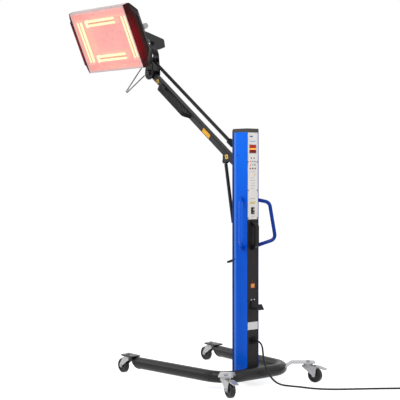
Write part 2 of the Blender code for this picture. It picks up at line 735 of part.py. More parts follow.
def column_profile():
    corner = COLUMN_CORNER
    outline = rounded(((-HALF_WIDTH, -HALF_DEPTH), (-INNER_X, -HALF_DEPTH), (-INNER_X, WEB_FRONT_Y),
                       (INNER_X, WEB_FRONT_Y), (INNER_X, -HALF_DEPTH), (HALF_WIDTH, -HALF_DEPTH),
                       (HALF_WIDTH, HALF_DEPTH), (INNER_X, HALF_DEPTH), (INNER_X, WEB_REAR_Y),
                       (-INNER_X, WEB_REAR_Y), (-INNER_X, HALF_DEPTH), (-HALF_WIDTH, HALF_DEPTH)),
                      (0, 0, corner, corner, 0, 0, 0, 0, corner, corner, 0, 0), steps=2)
    profile = prism(outline, COLUMN_BOTTOM, COLUMN_TOP)
    for height in (ARM_PIVOT_Z, ARM_PIVOT_Z + LINK_OFFSET, LEVER_PIVOT_Z):
        near = 0 if height == LEVER_PIVOT_Z else -HALF_WIDTH - CUT_OVERRUN
        depth = LEVER_PIVOT_Y if height == LEVER_PIVOT_Z else ARM_PIVOT_Y
        radius = LEVER_PIN_RADIUS if height == LEVER_PIVOT_Z else PIN_RADIUS
        profile = cut(profile, bar((near, depth, height), (HALF_WIDTH + CUT_OVERRUN, depth, height),
                                   radius / cos(pi / SMALL_SIDES) + RUNNING_GAP, SMALL_SIDES))
    return profile


def top_cap():
    low = COLUMN_TOP + SEAT_GAP
    top = low + CAP_HEIGHT
    side = ((-HALF_DEPTH, low), (HALF_DEPTH, low), (HALF_DEPTH, top - CAP_CHAMFER / 3),
            (HALF_DEPTH - CAP_CHAMFER / 3, top), (-HALF_DEPTH + CAP_CHAMFER, top),
            (-HALF_DEPTH, top - CAP_CHAMFER))
    cap = prism(side, -HALF_WIDTH, HALF_WIDTH, ALONG_X)
    loose = INNER_X - SEAT_GAP - COLUMN_CORNER
    front = block((-loose, -HALF_DEPTH + COLUMN_WALL, low - CAP_PLUG),
                  (loose, WEB_FRONT_Y - COLUMN_CORNER, low + WELD_DEPTH))
    rear = block((-loose + COVER_WALL, WEB_REAR_Y + COLUMN_CORNER, low - CAP_PLUG),
                 (loose - COVER_WALL, COVER_BACK_Y - SEAT_GAP, low + WELD_DEPTH))
    return join(cap, front, rear)


def rear_tray(low, high):
    """A folded sheet that closes the rear of the column between two heights."""
    outer = INNER_X - SEAT_GAP
    inner = outer - COVER_WALL
    fold = COVER_FACE_Y - COVER_FLANGE
    outline = ((-outer, fold), (-inner, fold), (-inner, COVER_BACK_Y), (inner, COVER_BACK_Y),
               (inner, fold), (outer, fold), (outer, COVER_FACE_Y), (-outer, COVER_FACE_Y))
    return prism(outline, low, high)


def rear_cover():
    cover = rear_tray(COLUMN_BOTTOM, COVER_TOP - SEAT_GAP)
    hole = bar((0, 0, GLAND_HEIGHT), (0, COLUMN_DEPTH, GLAND_HEIGHT),
               GLAND_THREAD_RADIUS / cos(pi / ROUND_SIDES) + SEAT_GAP)
    return cut(cover, hole)


def control_panel():
    panel = rear_tray(COVER_TOP, PANEL_TOP)
    behind, ahead = COVER_BACK_Y - CUT_OVERRUN, COVER_FACE_Y + CUT_OVERRUN
    half = DISPLAY_WIDTH / 2
    panel = cut(panel, block((-half, behind, DISPLAY_LOW), (half, ahead, DISPLAY_HIGH)))
    half = SWITCH_WIDTH / 2
    panel = cut(panel, block((-half, behind, SWITCH_LOW), (half, ahead, SWITCH_HIGH)))
    for x, z in key_places():
        panel = cut(panel, bar((x, behind, z), (x, ahead, z),
                               KEY_RADIUS / cos(pi / SMALL_SIDES) + RUNNING_GAP, SMALL_SIDES))
    return panel


def key_places():
    return [(column * KEY_SPACING, height) for height in KEY_HEIGHTS for column in (1, 0, -1)]


def display_window():
    half = DISPLAY_WIDTH / 2 - SEAT_GAP
    return block((-half, COVER_FACE_Y + SEAT_GAP - DISPLAY_THICKNESS, DISPLAY_LOW + SEAT_GAP),
                 (half, COVER_FACE_Y + SEAT_GAP, DISPLAY_HIGH - SEAT_GAP))


def push_key(x, z):
    """A key whose flange lies behind the panel, with room to travel inwards."""
    face = COVER_FACE_Y + KEY_STAND_OUT
    flange = COVER_BACK_Y - SEAT_GAP
    profile = ((KEY_FLANGE_RADIUS, flange - KEY_FLANGE), (KEY_FLANGE_RADIUS, flange),
               (KEY_RADIUS, flange), (KEY_RADIUS, face - KEY_STAND_OUT / 3),
               (KEY_RADIUS - KEY_STAND_OUT / 3, face))
    return turned(profile, pointing((x, 0, z), (0, 1, 0)), SMALL_SIDES)


def main_switch():
    """A rocker with its lower half pressed."""
    middle = (SWITCH_LOW + SWITCH_HIGH) / 2
    low, high = SWITCH_LOW + SWITCH_CLEARANCE, SWITCH_HIGH - SWITCH_CLEARANCE
    face = COVER_FACE_Y + SWITCH_STAND_OUT
    outline = ((COVER_FACE_Y - SWITCH_DEPTH / 2, low), (face - SWITCH_ROCK / 2, low),
               (face - SWITCH_ROCK / 2, (low + middle) / 2), (face, middle),
               (face + SWITCH_ROCK, high), (COVER_FACE_Y - SWITCH_DEPTH / 2, high),
               (COVER_FACE_Y - SWITCH_DEPTH, middle))
    half = SWITCH_WIDTH / 2 - RUNNING_GAP
    return prism(outline, -half, half, ALONG_X)


def column_grip():
    """A bridge handle on the rear cover, open for the fingers."""
    near = COVER_FACE_Y + SEAT_GAP
    far = near + GRIP_REACH
    outer = rounded(((near, GRIP_LOW), (far, GRIP_LOW + GRIP_FOOT), (far, GRIP_HIGH - GRIP_FOOT),
                     (near, GRIP_HIGH)), (0, GRIP_FOOT, GRIP_FOOT, 0))
    inner = rounded(((near - GRIP_REACH, GRIP_LOW + GRIP_FOOT), (near, GRIP_LOW + GRIP_FOOT),
                     (far - GRIP_THICKNESS, GRIP_LOW + GRIP_FOOT + GRIP_THICKNESS),
                     (far - GRIP_THICKNESS, GRIP_HIGH - GRIP_FOOT - GRIP_THICKNESS),
                     (near, GRIP_HIGH - GRIP_FOOT), (near - GRIP_REACH, GRIP_HIGH - GRIP_FOOT)),
                    (0, 0, GRIP_THICKNESS, GRIP_THICKNESS, 0, 0))
    half = GRIP_WIDTH / 2
    return cut(prism(outer, -half, half, ALONG_X), prism(inner, -GRIP_WIDTH, GRIP_WIDTH, ALONG_X))


def cable_hook():
    near = COVER_FACE_Y + SEAT_GAP
    far = near + HOOK_REACH
    thick = HOOK_THICKNESS
    back_top, lip_top = HOOK_LOW + HOOK_BACK_HEIGHT, HOOK_LOW + HOOK_LIP_HEIGHT
    outline = rounded(((near, HOOK_LOW), (far, HOOK_LOW), (far - HOOK_LEAN, lip_top),
                       (far - HOOK_LEAN - thick, lip_top), (far - 2 * thick, HOOK_LOW + thick),
                       (near + thick, HOOK_LOW + thick), (near + thick, back_top), (near, back_top)),
                      (0, thick / 2, 0, 0, thick / 2, thick / 2, 0, 0), steps=2)
    half = HOOK_WIDTH / 2
    return prism(outline, -half, half, ALONG_X)


def cord_gland():
    """The lead's inlet, with a tapered sleeve through which the lead leaves."""
    face = COVER_FACE_Y + SEAT_GAP
    tail = face + GLAND_FLANGE + GLAND_LENGTH
    profile = ((GLAND_THREAD_RADIUS, COVER_BACK_Y - 2 * COVER_WALL), (GLAND_THREAD_RADIUS, face),
               (GLAND_FLANGE_RADIUS, face), (GLAND_FLANGE_RADIUS, face + GLAND_FLANGE),
               (GLAND_THREAD_RADIUS + WELD_DEPTH, face + GLAND_FLANGE),
               (CORD_RADIUS + WELD_DEPTH, tail))
    return turned(profile, pointing((0, 0, GLAND_HEIGHT), (0, 1, 0)))


def column_foot():
    half = HALF_WIDTH + FOOT_MARGIN
    top = COLUMN_BOTTOM - SEAT_GAP
    back = CROSS_TUBE_Y - BASE_TUBE_RADIUS - SEAT_GAP
    front_of_back = HALF_DEPTH + SEAT_GAP
    foot = block((-half, -HALF_DEPTH - FOOT_MARGIN / 2, top - FOOT_THICKNESS), (half, back, top))
    wall = block((-half, front_of_back, top - FOOT_THICKNESS), (half, back, top + FOOT_BACK_HEIGHT))
    foot = join(foot, wall)
    for side in (-1, 1):
        low_x, high_x = sorted((side * (HALF_WIDTH + SEAT_GAP), side * (HALF_WIDTH + COLUMN_WALL)))
        gusset = ((-HALF_DEPTH / 2, top - WELD_DEPTH), (back - WELD_DEPTH, top - WELD_DEPTH),
                  (back - WELD_DEPTH, top + FOOT_BACK_HEIGHT))
        foot = join(foot, prism(gusset, low_x, high_x, ALONG_X))
        for end in (-1, 1):
            place = (side * FOOT_BOLT_SPREAD_X, end * FOOT_BOLT_SPREAD_Y)
            low = top - FOOT_THICKNESS - FOOT_BOLT_HEIGHT
            foot = join(foot, bar((*place, low), (*place, top - WELD_DEPTH), FOOT_BOLT_RADIUS,
                                  SMALL_SIDES // 2))
    return foot


def control_board():
    half = BOARD_WIDTH / 2
    board = block((-half, BOARD_Y, BOARD_LOW), (half, BOARD_Y + BOARD_THICKNESS, BOARD_HIGH))
    module_half = DISPLAY_WIDTH / 2 - COVER_WALL
    front = COVER_FACE_Y - DISPLAY_THICKNESS
    board = join(board, block((-module_half, BOARD_Y + WELD_DEPTH, DISPLAY_LOW + COVER_WALL),
                              (module_half, front, DISPLAY_HIGH - COVER_WALL)))
    key_back = COVER_BACK_Y - KEY_FLANGE - KEY_TRAVEL - 3 * SEAT_GAP
    for x, z in key_places():
        board = join(board, block((x - KEY_RADIUS, BOARD_Y + WELD_DEPTH, z - KEY_RADIUS),
                                  (x + KEY_RADIUS, key_back, z + KEY_RADIUS)))
    inset = 2 * BOARD_POST_RADIUS
    for x in (-half + inset, half - inset):
        for z in (BOARD_LOW + inset, BOARD_HIGH - inset):
            board = join(board, bar((x, WEB_REAR_Y + SEAT_GAP, z), (x, BOARD_Y + WELD_DEPTH, z),
                                    BOARD_POST_RADIUS, SMALL_SIDES // 2))
    return board


def power_module():
    """The power regulator on its finned heat sink."""
    low = WEB_REAR_Y + SEAT_GAP
    half = POWER_WIDTH / 2
    outline = [(-half, low), (half, low)]
    step = (POWER_WIDTH - POWER_FIN_THICKNESS) / (POWER_FIN_COUNT - 1)
    for fin in range(POWER_FIN_COUNT):
        right = half - fin * step
        left = right - POWER_FIN_THICKNESS
        outline += [(right, low + POWER_BASE), (right, low + POWER_DEPTH), (left, low + POWER_DEPTH),
                    (left, low + POWER_BASE)]
    outline = list(dict.fromkeys(outline))
    return prism(outline, POWER_LOW, POWER_HIGH)


def side_handle(side):
    outward = Vector((side * cos(SIDE_HANDLE_SPLAY), sin(SIDE_HANDLE_SPLAY), 0))
    root = Vector((side * (HALF_WIDTH + SEAT_GAP + SIDE_HANDLE_TAB_THICKNESS / 2), SIDE_HANDLE_Y, 0))
    high, low = Vector((0, 0, SIDE_HANDLE_HIGH)), Vector((0, 0, SIDE_HANDLE_LOW))
    sag, lift = Vector((0, 0, SIDE_HANDLE_SAG)), Vector((0, 0, SIDE_HANDLE_LIFT))
    corners = (root + high, root + high + outward * SIDE_HANDLE_REACH_HIGH - sag,
               root + low + outward * SIDE_HANDLE_REACH_LOW + lift, root + low)
    path = rounded(corners, (0, SIDE_HANDLE_BEND, SIDE_HANDLE_BEND, 0), 6, closed=False)
    grip = tube(path, SIDE_HANDLE_RADIUS, resolution=2)
    low_x, high_x = sorted((side * (HALF_WIDTH + SEAT_GAP),
                            side * (HALF_WIDTH + SEAT_GAP + SIDE_HANDLE_TAB_THICKNESS)))
    half = SIDE_HANDLE_TAB / 2
    wall = block((min(0, side * (HALF_WIDTH + SEAT_GAP)), -COLUMN_DEPTH, COVER_TOP / 2),
                 (max(0, side * (HALF_WIDTH + SEAT_GAP)), COLUMN_DEPTH, COLUMN_TOP))
    for height in (SIDE_HANDLE_LOW, SIDE_HANDLE_HIGH):
        tab = prism(rounded(rectangle(SIDE_HANDLE_Y - half, height - half, SIDE_HANDLE_Y + half,
                                      height + half), half / 2, 2), low_x, high_x, ALONG_X)
        grip = join(grip, tab)
    return cut(grip, wall)


# Arm linkage. The arm leaves its pivot towards -Y and rises by its slope

ARM_PIVOT = Vector((0, ARM_PIVOT_Y, ARM_PIVOT_Z))
ARM_WAY = Vector((0, -cos(ARM_SLOPE), sin(ARM_SLOPE)))
ARM_RISE = Vector((0, sin(ARM_SLOPE), cos(ARM_SLOPE)))
ARM_END = ARM_PIVOT + ARM_WAY * ARM_LENGTH
LINK_RAISE = Vector((0, 0, LINK_OFFSET))
LINK_FOOT = ARM_PIVOT + LINK_RAISE
LINK_HEAD = ARM_END + LINK_RAISE
SPRING_TOP = ARM_PIVOT + ARM_WAY * SPRING_EYE_ALONG - ARM_RISE * SPRING_EYE_BELOW
SPRING_FOOT = Vector((0, SPRING_FOOT_Y, SPRING_FOOT_Z))
SPRING_WAY = (SPRING_FOOT - SPRING_TOP).normalized()


def across(x):
    return Vector((x, 0, 0))


def cross_pin(place, radius, low_x, high_x, sides=SMALL_SIDES):
    """A bar along X through a place."""
    return bar(place + across(low_x), place + across(high_x), radius, sides)


def stepped_pin(place, half_profile, sides=ROUND_SIDES):
    """A pin along X that is the same on both sides; its profile of (radius, x) starts in the middle."""
    mirrored = [(radius, -x) for radius, x in reversed(half_profile)]
    return turned(mirrored + list(half_profile), pointing(place, across(1)), sides)


def arm_frame():
    """Along the arm in the first axis, square to it in the second, and X in the third."""
    frame = Matrix.Identity(4)
    frame.col[0][:3] = ARM_WAY
    frame.col[1][:3] = ARM_RISE
    frame.col[2][:3] = ARM_WAY.cross(ARM_RISE)
    frame.translation = ARM_PIVOT
    return frame


def arm_tube():
    frame = arm_frame()
    half = ARM_SIDE / 2
    corners = []
    for u, v in ((0, -half), (ARM_LENGTH, -half), (ARM_LENGTH, half), (0, half)):
        corners.append((u - half if u == 0 else u + half, v))
    outline = rounded(corners, half - SEAT_GAP, steps=6)
    arm = prism(outline, -half, half, frame)
    section = Matrix(((1, 0, 0), tuple(ARM_RISE), tuple(ARM_WAY))).transposed().to_4x4()
    section.translation = ARM_PIVOT
    outer, inner = half + ARM_CORNER / 2, half - ARM_CORNER * 3 / 2
    for side_x in (-1, 1):
        for side_v in (-1, 1):
            corner = [(side_x * outer, side_v * outer), (side_x * inner, side_v * outer),
                      (side_x * outer, side_v * inner)]
            if side_x * side_v < 0:
                corner.reverse()
            arm = cut(arm, prism(corner, half, ARM_LENGTH - half, section))
    ear_low = SPRING_EYE_WIDTH / 2 + SEAT_GAP
    top = (SPRING_EYE_ALONG, -half + WELD_DEPTH)
    ear = [(top[0] - SPRING_EAR_LENGTH / 2, top[1])]
    ear += disc_outline((SPRING_EYE_ALONG, -SPRING_EYE_BELOW), SPRING_EAR_RADIUS, SMALL_SIDES, pi, pi)
    ear.append((top[0] + SPRING_EAR_LENGTH / 2, top[1]))
    for low in (ear_low, -ear_low - SPRING_EAR_THICKNESS):
        arm = join(arm, prism(ear, low, low + SPRING_EAR_THICKNESS, frame))
    reach = ARM_SIDE
    arm = cut(arm, cross_pin(ARM_PIVOT, PIN_RADIUS / cos(pi / ROUND_SIDES) + RUNNING_GAP, -reach, reach,
                             ROUND_SIDES),
              cross_pin(ARM_END, PIN_RADIUS / cos(pi / ROUND_SIDES) + RUNNING_GAP, -reach, reach,
                             ROUND_SIDES),
              cross_pin(SPRING_TOP, SPRING_PIN_RADIUS / cos(pi / SMALL_SIDES) + RUNNING_GAP,
                        -reach, reach))
    return arm


def arm_grip():
    """A bow grip on the arm's side."""
    near = ARM_SIDE / 2 + SEAT_GAP
    far = near + ARM_GRIP_REACH
    end = ARM_LENGTH - ARM_GRIP_NEAR
    start = end - ARM_GRIP_LENGTH
    thick = ARM_GRIP_THICKNESS
    outer = rounded(((start, near), (end, near), (end - thick, far), (start + thick, far)),
                    (0, 0, thick, thick), steps=4)
    inner = rounded(((start + ARM_GRIP_FOOT, near - thick), (end - ARM_GRIP_FOOT, near - thick),
                     (end - ARM_GRIP_FOOT - thick / 2, far - thick),
                     (start + ARM_GRIP_FOOT + thick / 2, far - thick)), (0, 0, thick, thick), steps=4)
    frame = Matrix.Identity(4)
    frame.col[0][:3] = ARM_WAY
    frame.col[1][:3] = across(1)
    frame.col[2][:3] = ARM_WAY.cross(across(1))
    frame.translation = ARM_PIVOT
    half = ARM_GRIP_HEIGHT / 2
    return cut(prism(outer, -half, half, frame), prism(inner, -ARM_GRIP_HEIGHT, ARM_GRIP_HEIGHT, frame))


def link_rod():
    offset = ARM_WAY * LINK_EYE_RADIUS / 2
    rod = bar(LINK_FOOT + offset, LINK_HEAD - offset, LINK_ROD_RADIUS, SMALL_SIDES)
    half = LINK_EYE_WIDTH / 2
    loose = PIN_RADIUS / cos(pi / ROUND_SIDES) + RUNNING_GAP
    for place in (LINK_FOOT, LINK_HEAD):
        rod = join(rod, cross_pin(place, LINK_EYE_RADIUS, -half, half, ROUND_SIDES))
        rod = cut(rod, cross_pin(place, loose, -LINK_EYE_WIDTH, LINK_EYE_WIDTH, ROUND_SIDES))
    return rod


def column_pin(place, collar_inner):
    """A pin through the column's side walls, with collars that centre what turns on it."""
    inner, outer = collar_inner + SEAT_GAP, INNER_X - SEAT_GAP
    return stepped_pin(place, ((PIN_RADIUS, inner), (COLLAR_RADIUS, inner), (COLLAR_RADIUS, outer),
                               (PIN_RADIUS, outer), (PIN_RADIUS, HALF_WIDTH - SEAT_GAP)))


def spring_eye(place, stud_half):
    """The gas spring's eye with the stud through it."""
    half = SPRING_EYE_WIDTH / 2
    return stepped_pin(place, ((SPRING_EYE_RADIUS, half), (SPRING_PIN_RADIUS, half),
                               (SPRING_PIN_RADIUS, stud_half)))


def spring_cylinder():
    """The gas spring's tube, with its eye and the stud that sits in the arm's ears."""
    neck_end = SPRING_EAR_RADIUS + 2 * SPRING_EAR_THICKNESS / 3
    profile = ((SPRING_NECK_RADIUS, SPRING_EYE_RADIUS / 2), (SPRING_NECK_RADIUS, neck_end),
               (SPRING_TUBE_RADIUS, neck_end), (SPRING_TUBE_RADIUS, SPRING_TUBE_LENGTH),
               (SPRING_BORE_RADIUS, SPRING_TUBE_LENGTH), (SPRING_BORE_RADIUS, SPRING_END_WALL))
    body = turned(profile, pointing(SPRING_TOP, SPRING_WAY))
    stud = SPRING_EYE_WIDTH / 2 + SEAT_GAP + SPRING_EAR_THICKNESS
    return join(body, spring_eye(SPRING_TOP, stud))


def spring_rod():
    """The gas spring's rod, with the piston on top and an eye at the foot."""
    tip = SPRING_TUBE_LENGTH - SPRING_PISTON_DEPTH - SPRING_PISTON_LENGTH
    foot = (SPRING_FOOT - SPRING_TOP).length - SPRING_EYE_RADIUS / 2
    piston = SPRING_BORE_RADIUS * cos(pi / ROUND_SIDES) - RUNNING_GAP
    profile = ((piston, tip), (piston, tip + SPRING_PISTON_LENGTH),
               (SPRING_SHAFT_RADIUS, tip + SPRING_PISTON_LENGTH), (SPRING_SHAFT_RADIUS, foot))
    rod = turned(profile, pointing(SPRING_TOP, SPRING_WAY))
    return join(rod, spring_eye(SPRING_FOOT, SPRING_STUD_HALF))


def spring_anchor():
    """A fork on the web. The spring's foot sits between its ears with room on every side."""
    back = WEB_FRONT_Y - SEAT_GAP
    half_width = ANCHOR_EAR_GAP + ANCHOR_EAR_THICKNESS
    low, high = SPRING_FOOT_Z - ANCHOR_HEIGHT / 2, SPRING_FOOT_Z + ANCHOR_HEIGHT / 2
    anchor = block((-INNER_X / 2, back - ANCHOR_BASE, low), (INNER_X / 2, back, high))
    reach = back - ANCHOR_BASE - ANCHOR_REACH
    root = back - ANCHOR_BASE + WELD_DEPTH
    half = ANCHOR_NOSE / 2
    outline = rounded(((reach, SPRING_FOOT_Z - half), (root, low), (root, high),
                       (reach, SPRING_FOOT_Z + half)), (half / 2, 0, 0, half / 2))
    for ear in (ANCHOR_EAR_GAP, -half_width):
        anchor = join(anchor, prism(outline, ear, ear + ANCHOR_EAR_THICKNESS, ALONG_X))
    return anchor


LEVER_PLACE = Vector((0, LEVER_PIVOT_Y, LEVER_PIVOT_Z))


def release_lever():
    """A small lever that stands out of the column's open front."""
    tip = (LEVER_PIVOT_Y - LEVER_REACH, LEVER_PIVOT_Z - LEVER_DIP)
    outline = strap_outline((LEVER_PIVOT_Y, LEVER_PIVOT_Z), LEVER_BOSS_RADIUS, tip, LEVER_TIP_RADIUS)
    low, high = LEVER_X - LEVER_WIDTH / 2, LEVER_X + LEVER_WIDTH / 2
    pin = cross_pin(LEVER_PLACE, LEVER_PIN_RADIUS, low - WELD_DEPTH, HALF_WIDTH - SEAT_GAP)
    return join(prism(outline, low, high, ALONG_X), pin)


# Head link: two cheeks on the arm's end pin and the link rod's pin, with the swivel spindle on top

def head_link():
    low = (ARM_END.y, ARM_END.z)
    high = (ARM_END.y, ARM_END.z + CHEEK_TOP_RISE)
    outline = strap_outline(low, CHEEK_LOW_RADIUS, high, CHEEK_HIGH_RADIUS)
    outer = CHEEK_INNER_X + CHEEK_THICKNESS
    link = prism(outline, CHEEK_INNER_X, outer, ALONG_X)
    other = prism(outline, -outer, -CHEEK_INNER_X, ALONG_X)
    block_low, block_high = ARM_END.z + NECK_BLOCK_LOW, ARM_END.z + NECK_BLOCK_HIGH
    reach = CHEEK_HIGH_RADIUS - WELD_DEPTH
    bridge = block((-CHEEK_INNER_X - WELD_DEPTH, ARM_END.y - reach, block_low),
                   (CHEEK_INNER_X + WELD_DEPTH, ARM_END.y + reach, block_high - WELD_DEPTH))
    axis = Matrix.Translation(Vector((0, ARM_END.y, 0)))
    spindle = turned(((NECK_BARREL_RADIUS, block_high - NECK_BARREL_HEIGHT), (NECK_BARREL_RADIUS, block_high),
                      (SPINDLE_RADIUS, block_high), (SPINDLE_RADIUS, block_high + SPINDLE_HEIGHT)),
                     axis, FINE_SIDES)
    link = join(link, bridge, other, spindle)
    loose = PIN_RADIUS / cos(pi / SMALL_SIDES) + SEAT_GAP
    link = cut(link, cross_pin(ARM_END, loose, -2 * outer, 2 * outer),
               cross_pin(LINK_HEAD, loose, -2 * outer, 2 * outer))
    post = GAUGE_X
    for height in (ARM_END.z + GAUGE_EYE_LOW, ARM_END.z + GAUGE_EYE_HIGH):
        stub = bar((outer - WELD_DEPTH, ARM_END.y, height), (post + GAUGE_POST_RADIUS, ARM_END.y, height),
                   GAUGE_POST_RADIUS, SMALL_SIDES)
        link = join(link, stub)
        link = cut(link, bar((post, ARM_END.y, height - CUT_OVERRUN), (post, ARM_END.y, height + CUT_OVERRUN),
                             GAUGE_WIRE_RADIUS / cos(pi / SMALL_SIDES) + RUNNING_GAP, SMALL_SIDES))
    return link


GAUGE_PLACE = Vector((GAUGE_X, ARM_END.y, ARM_END.z + (GAUGE_EYE_LOW + GAUGE_EYE_HIGH) / 2))


def distance_gauge():
    """A bent wire whose two ends stand in eyes on the head link, so that it swings like a gate."""
    ends = CUT_OVERRUN
    low, high = ARM_END.z + GAUGE_EYE_LOW, ARM_END.z + GAUGE_EYE_HIGH
    turn = GAUGE_TURN
    tip = Vector((GAUGE_X + GAUGE_REACH, ARM_END.y, low - GAUGE_DROP))
    corners = (Vector((GAUGE_X, ARM_END.y, low + ends)), Vector((GAUGE_X, ARM_END.y, low - turn)),
               tip, Vector((GAUGE_X, ARM_END.y, high + turn)), Vector((GAUGE_X, ARM_END.y, high - ends)))
    bend = GAUGE_WIRE_RADIUS
    path = rounded(corners, (0, bend, 3 * bend, bend, 0), 3, closed=False)
    return tube(path, GAUGE_WIRE_RADIUS, resolution=1)


def head_pin(place, inner):
    """A headed pin through both cheeks, with collars against what it carries."""
    collar_in, collar_out = inner + SEAT_GAP, CHEEK_INNER_X - SEAT_GAP
    head = CHEEK_INNER_X + CHEEK_THICKNESS + SEAT_GAP
    return stepped_pin(place, ((PIN_RADIUS, collar_in), (COLLAR_RADIUS, collar_in),
                               (COLLAR_RADIUS, collar_out), (PIN_RADIUS, collar_out),
                               (PIN_RADIUS, head), (PIN_HEAD_RADIUS, head),
                               (PIN_HEAD_RADIUS, head + PIN_HEAD_HEIGHT)))


# Head place: a frame with the face's width, its height and its normal

PAN_AXIS = Vector((0, ARM_END.y, ARM_END.z + NECK_BLOCK_HIGH + SEAT_GAP))
LEVEL_WAY = Vector((cos(HEAD_PAN), sin(HEAD_PAN), 0))
FACE_NORMAL = LEVEL_WAY * cos(HEAD_TILT) - Vector((0, 0, sin(HEAD_TILT)))
FACE_ACROSS = Vector((-sin(HEAD_PAN), cos(HEAD_PAN), 0))
FACE_UP = FACE_NORMAL.cross(FACE_ACROSS)
FACE_CENTRE = Vector((0, ARM_END.y, HEAD_CENTRE_Z)) + LEVEL_WAY * HEAD_REACH


def head_frame():
    frame = Matrix.Identity(4)
    frame.col[0][:3] = FACE_ACROSS
    frame.col[1][:3] = FACE_UP
    frame.col[2][:3] = FACE_NORMAL
    frame.translation = FACE_CENTRE
    return frame


HEAD = head_frame()
# Outlines of the head's side are drawn in its height and its normal, and pushed along its width
HEAD_SIDE = HEAD @ ALONG_X
TILT_AXIS = HEAD @ Vector((0, TILT_HEIGHT, -TILT_BACK))


def swivel_bracket():
    """A cranked bracket: its hub turns on the spindle and its eye carries the tilt bolt."""
    frame = Matrix.Identity(4)
    frame.col[0][:3] = LEVEL_WAY
    frame.col[1][:3] = (0, 0, 1)
    frame.col[2][:3] = LEVEL_WAY.cross(Vector((0, 0, 1)))
    frame.translation = PAN_AXIS
    eye = ((TILT_AXIS - PAN_AXIS).dot(LEVEL_WAY), TILT_AXIS.z - PAN_AXIS.z)
    low, high = BRACKET_FLOOR, BRACKET_HUB_HEIGHT - BRACKET_FLOOR
    arc = disc_outline(eye, BRACKET_EYE_RADIUS, SMALL_SIDES, -pi / 2 + BRACKET_LEAN, pi)
    outline = [*BRACKET_BACK, (-BRACKET_HUB_RADIUS, low), (BRACKET_INNER_X, low), (BRACKET_INNER_X, high),
               *BRACKET_SLOT, *arc]
    half = BRACKET_WIDTH / 2
    bracket = prism(outline, -half, half, frame)
    hub = turned(((BRACKET_HUB_RADIUS, SEAT_GAP), (BRACKET_HUB_RADIUS, BRACKET_HUB_HEIGHT)),
                 Matrix.Translation(PAN_AXIS), FINE_SIDES)
    bracket = join(bracket, hub)
    base = Vector((0, ARM_END.y, PAN_AXIS.z))
    up = Vector((0, 0, 1))
    bracket = cut(bracket, bar(base - up * CUT_OVERRUN, base + up * (SPINDLE_HEIGHT + RUNNING_GAP),
                               SPINDLE_RADIUS / cos(pi / FINE_SIDES) + RUNNING_GAP, FINE_SIDES))
    reach = FACE_ACROSS * BRACKET_WIDTH
    return cut(bracket, bar(TILT_AXIS - reach, TILT_AXIS + reach,
                            TILT_BOLT_RADIUS / cos(pi / SMALL_SIDES) + RUNNING_GAP, SMALL_SIDES))


def tilt_knob():
    """The tilt bolt, which clamps the ears, with a lobed knob at its near end."""
    outer = EAR_INNER + EAR_THICKNESS
    end = outer + KNOB_HEIGHT / 2
    bolt = bar(HEAD @ Vector((-end, TILT_HEIGHT, -TILT_BACK)), HEAD @ Vector((end, TILT_HEIGHT, -TILT_BACK)),
               TILT_BOLT_RADIUS, SMALL_SIDES)
    lobes = []
    for step in range(2 * KNOB_LOBES):
        radius = KNOB_RADIUS if step % 2 else KNOB_RADIUS * KNOB_WAIST_SHARE
        for shift in (-0.25, 0.25):
            angle = pi * (step + shift) / KNOB_LOBES
            lobes.append((TILT_HEIGHT + radius * cos(angle), -TILT_BACK + radius * sin(angle)))
    knob = prism(lobes, outer + SEAT_GAP, outer + KNOB_HEIGHT, HEAD_SIDE)
    nut = prism(disc_outline((TILT_HEIGHT, -TILT_BACK), STEM_NUT_RADIUS, SMALL_SIDES // 2),
                -outer - STEM_NUT_HEIGHT, -outer - SEAT_GAP, HEAD_SIDE)
    return join(bolt, knob, nut)


def shell_side(inset=0.0):
    """The head's side outline in height and depth, counterclockwise, drawn in by an inset."""
    half = FACE_HEIGHT / 2 - inset
    back = -SHELL_DEPTH + inset
    flank = -SHELL_FLANK
    shoulder = half - SHELL_SHOULDER + inset / 2
    return [(half, flank), (half, 0), (-half, 0), (-half, flank), (-shoulder, back), (shoulder, back)]


def back_shell():
    half = FACE_WIDTH / 2
    outline = [(v, n) for v, n in shell_side()]
    shell = prism(outline, -half, half, HEAD_SIDE)
    hollow = [(v, n + CUT_OVERRUN if n == 0 else n) for v, n in shell_side(SHELL_WALL)]
    shell = cut(shell, prism(hollow, -half - CUT_OVERRUN, half + CUT_OVERRUN, HEAD_SIDE))
    root = -SHELL_DEPTH + WELD_DEPTH
    tip = disc_outline((TILT_HEIGHT, -TILT_BACK), EAR_RADIUS, SMALL_SIDES, pi, pi)
    ear = tip + [(TILT_HEIGHT + EAR_ROOT, root), (TILT_HEIGHT - EAR_ROOT, root)]
    for low in (EAR_INNER, -EAR_INNER - EAR_THICKNESS):
        shell = join(shell, prism(ear, low, low + EAR_THICKNESS, HEAD_SIDE))
    reach = 2 * EAR_INNER
    return cut(shell, bar(HEAD @ Vector((-reach, TILT_HEIGHT, -TILT_BACK)),
                          HEAD @ Vector((reach, TILT_HEIGHT, -TILT_BACK)),
                          TILT_BOLT_RADIUS / cos(pi / SMALL_SIDES) + SEAT_GAP, SMALL_SIDES))


def front_frame():
    half_w = FACE_WIDTH / 2 - SEAT_GAP
    half_h = FACE_HEIGHT / 2 - SHELL_WALL - SEAT_GAP
    ring = block((-half_w, -half_h, -FRAME_DEPTH), (half_w, half_h, 0), HEAD)
    open_w, open_h = half_w - FRAME_WIDTH, half_h - FRAME_WIDTH
    seat_w, seat_h = half_w - GLASS_EDGE, half_h - GLASS_EDGE
    ring = cut(ring, block((-open_w, -open_h, -2 * FRAME_DEPTH), (open_w, open_h, FRAME_DEPTH), HEAD))
    return cut(ring, block((-seat_w, -seat_h, -2 * FRAME_DEPTH), (seat_w, seat_h, -FRAME_LIP), HEAD))


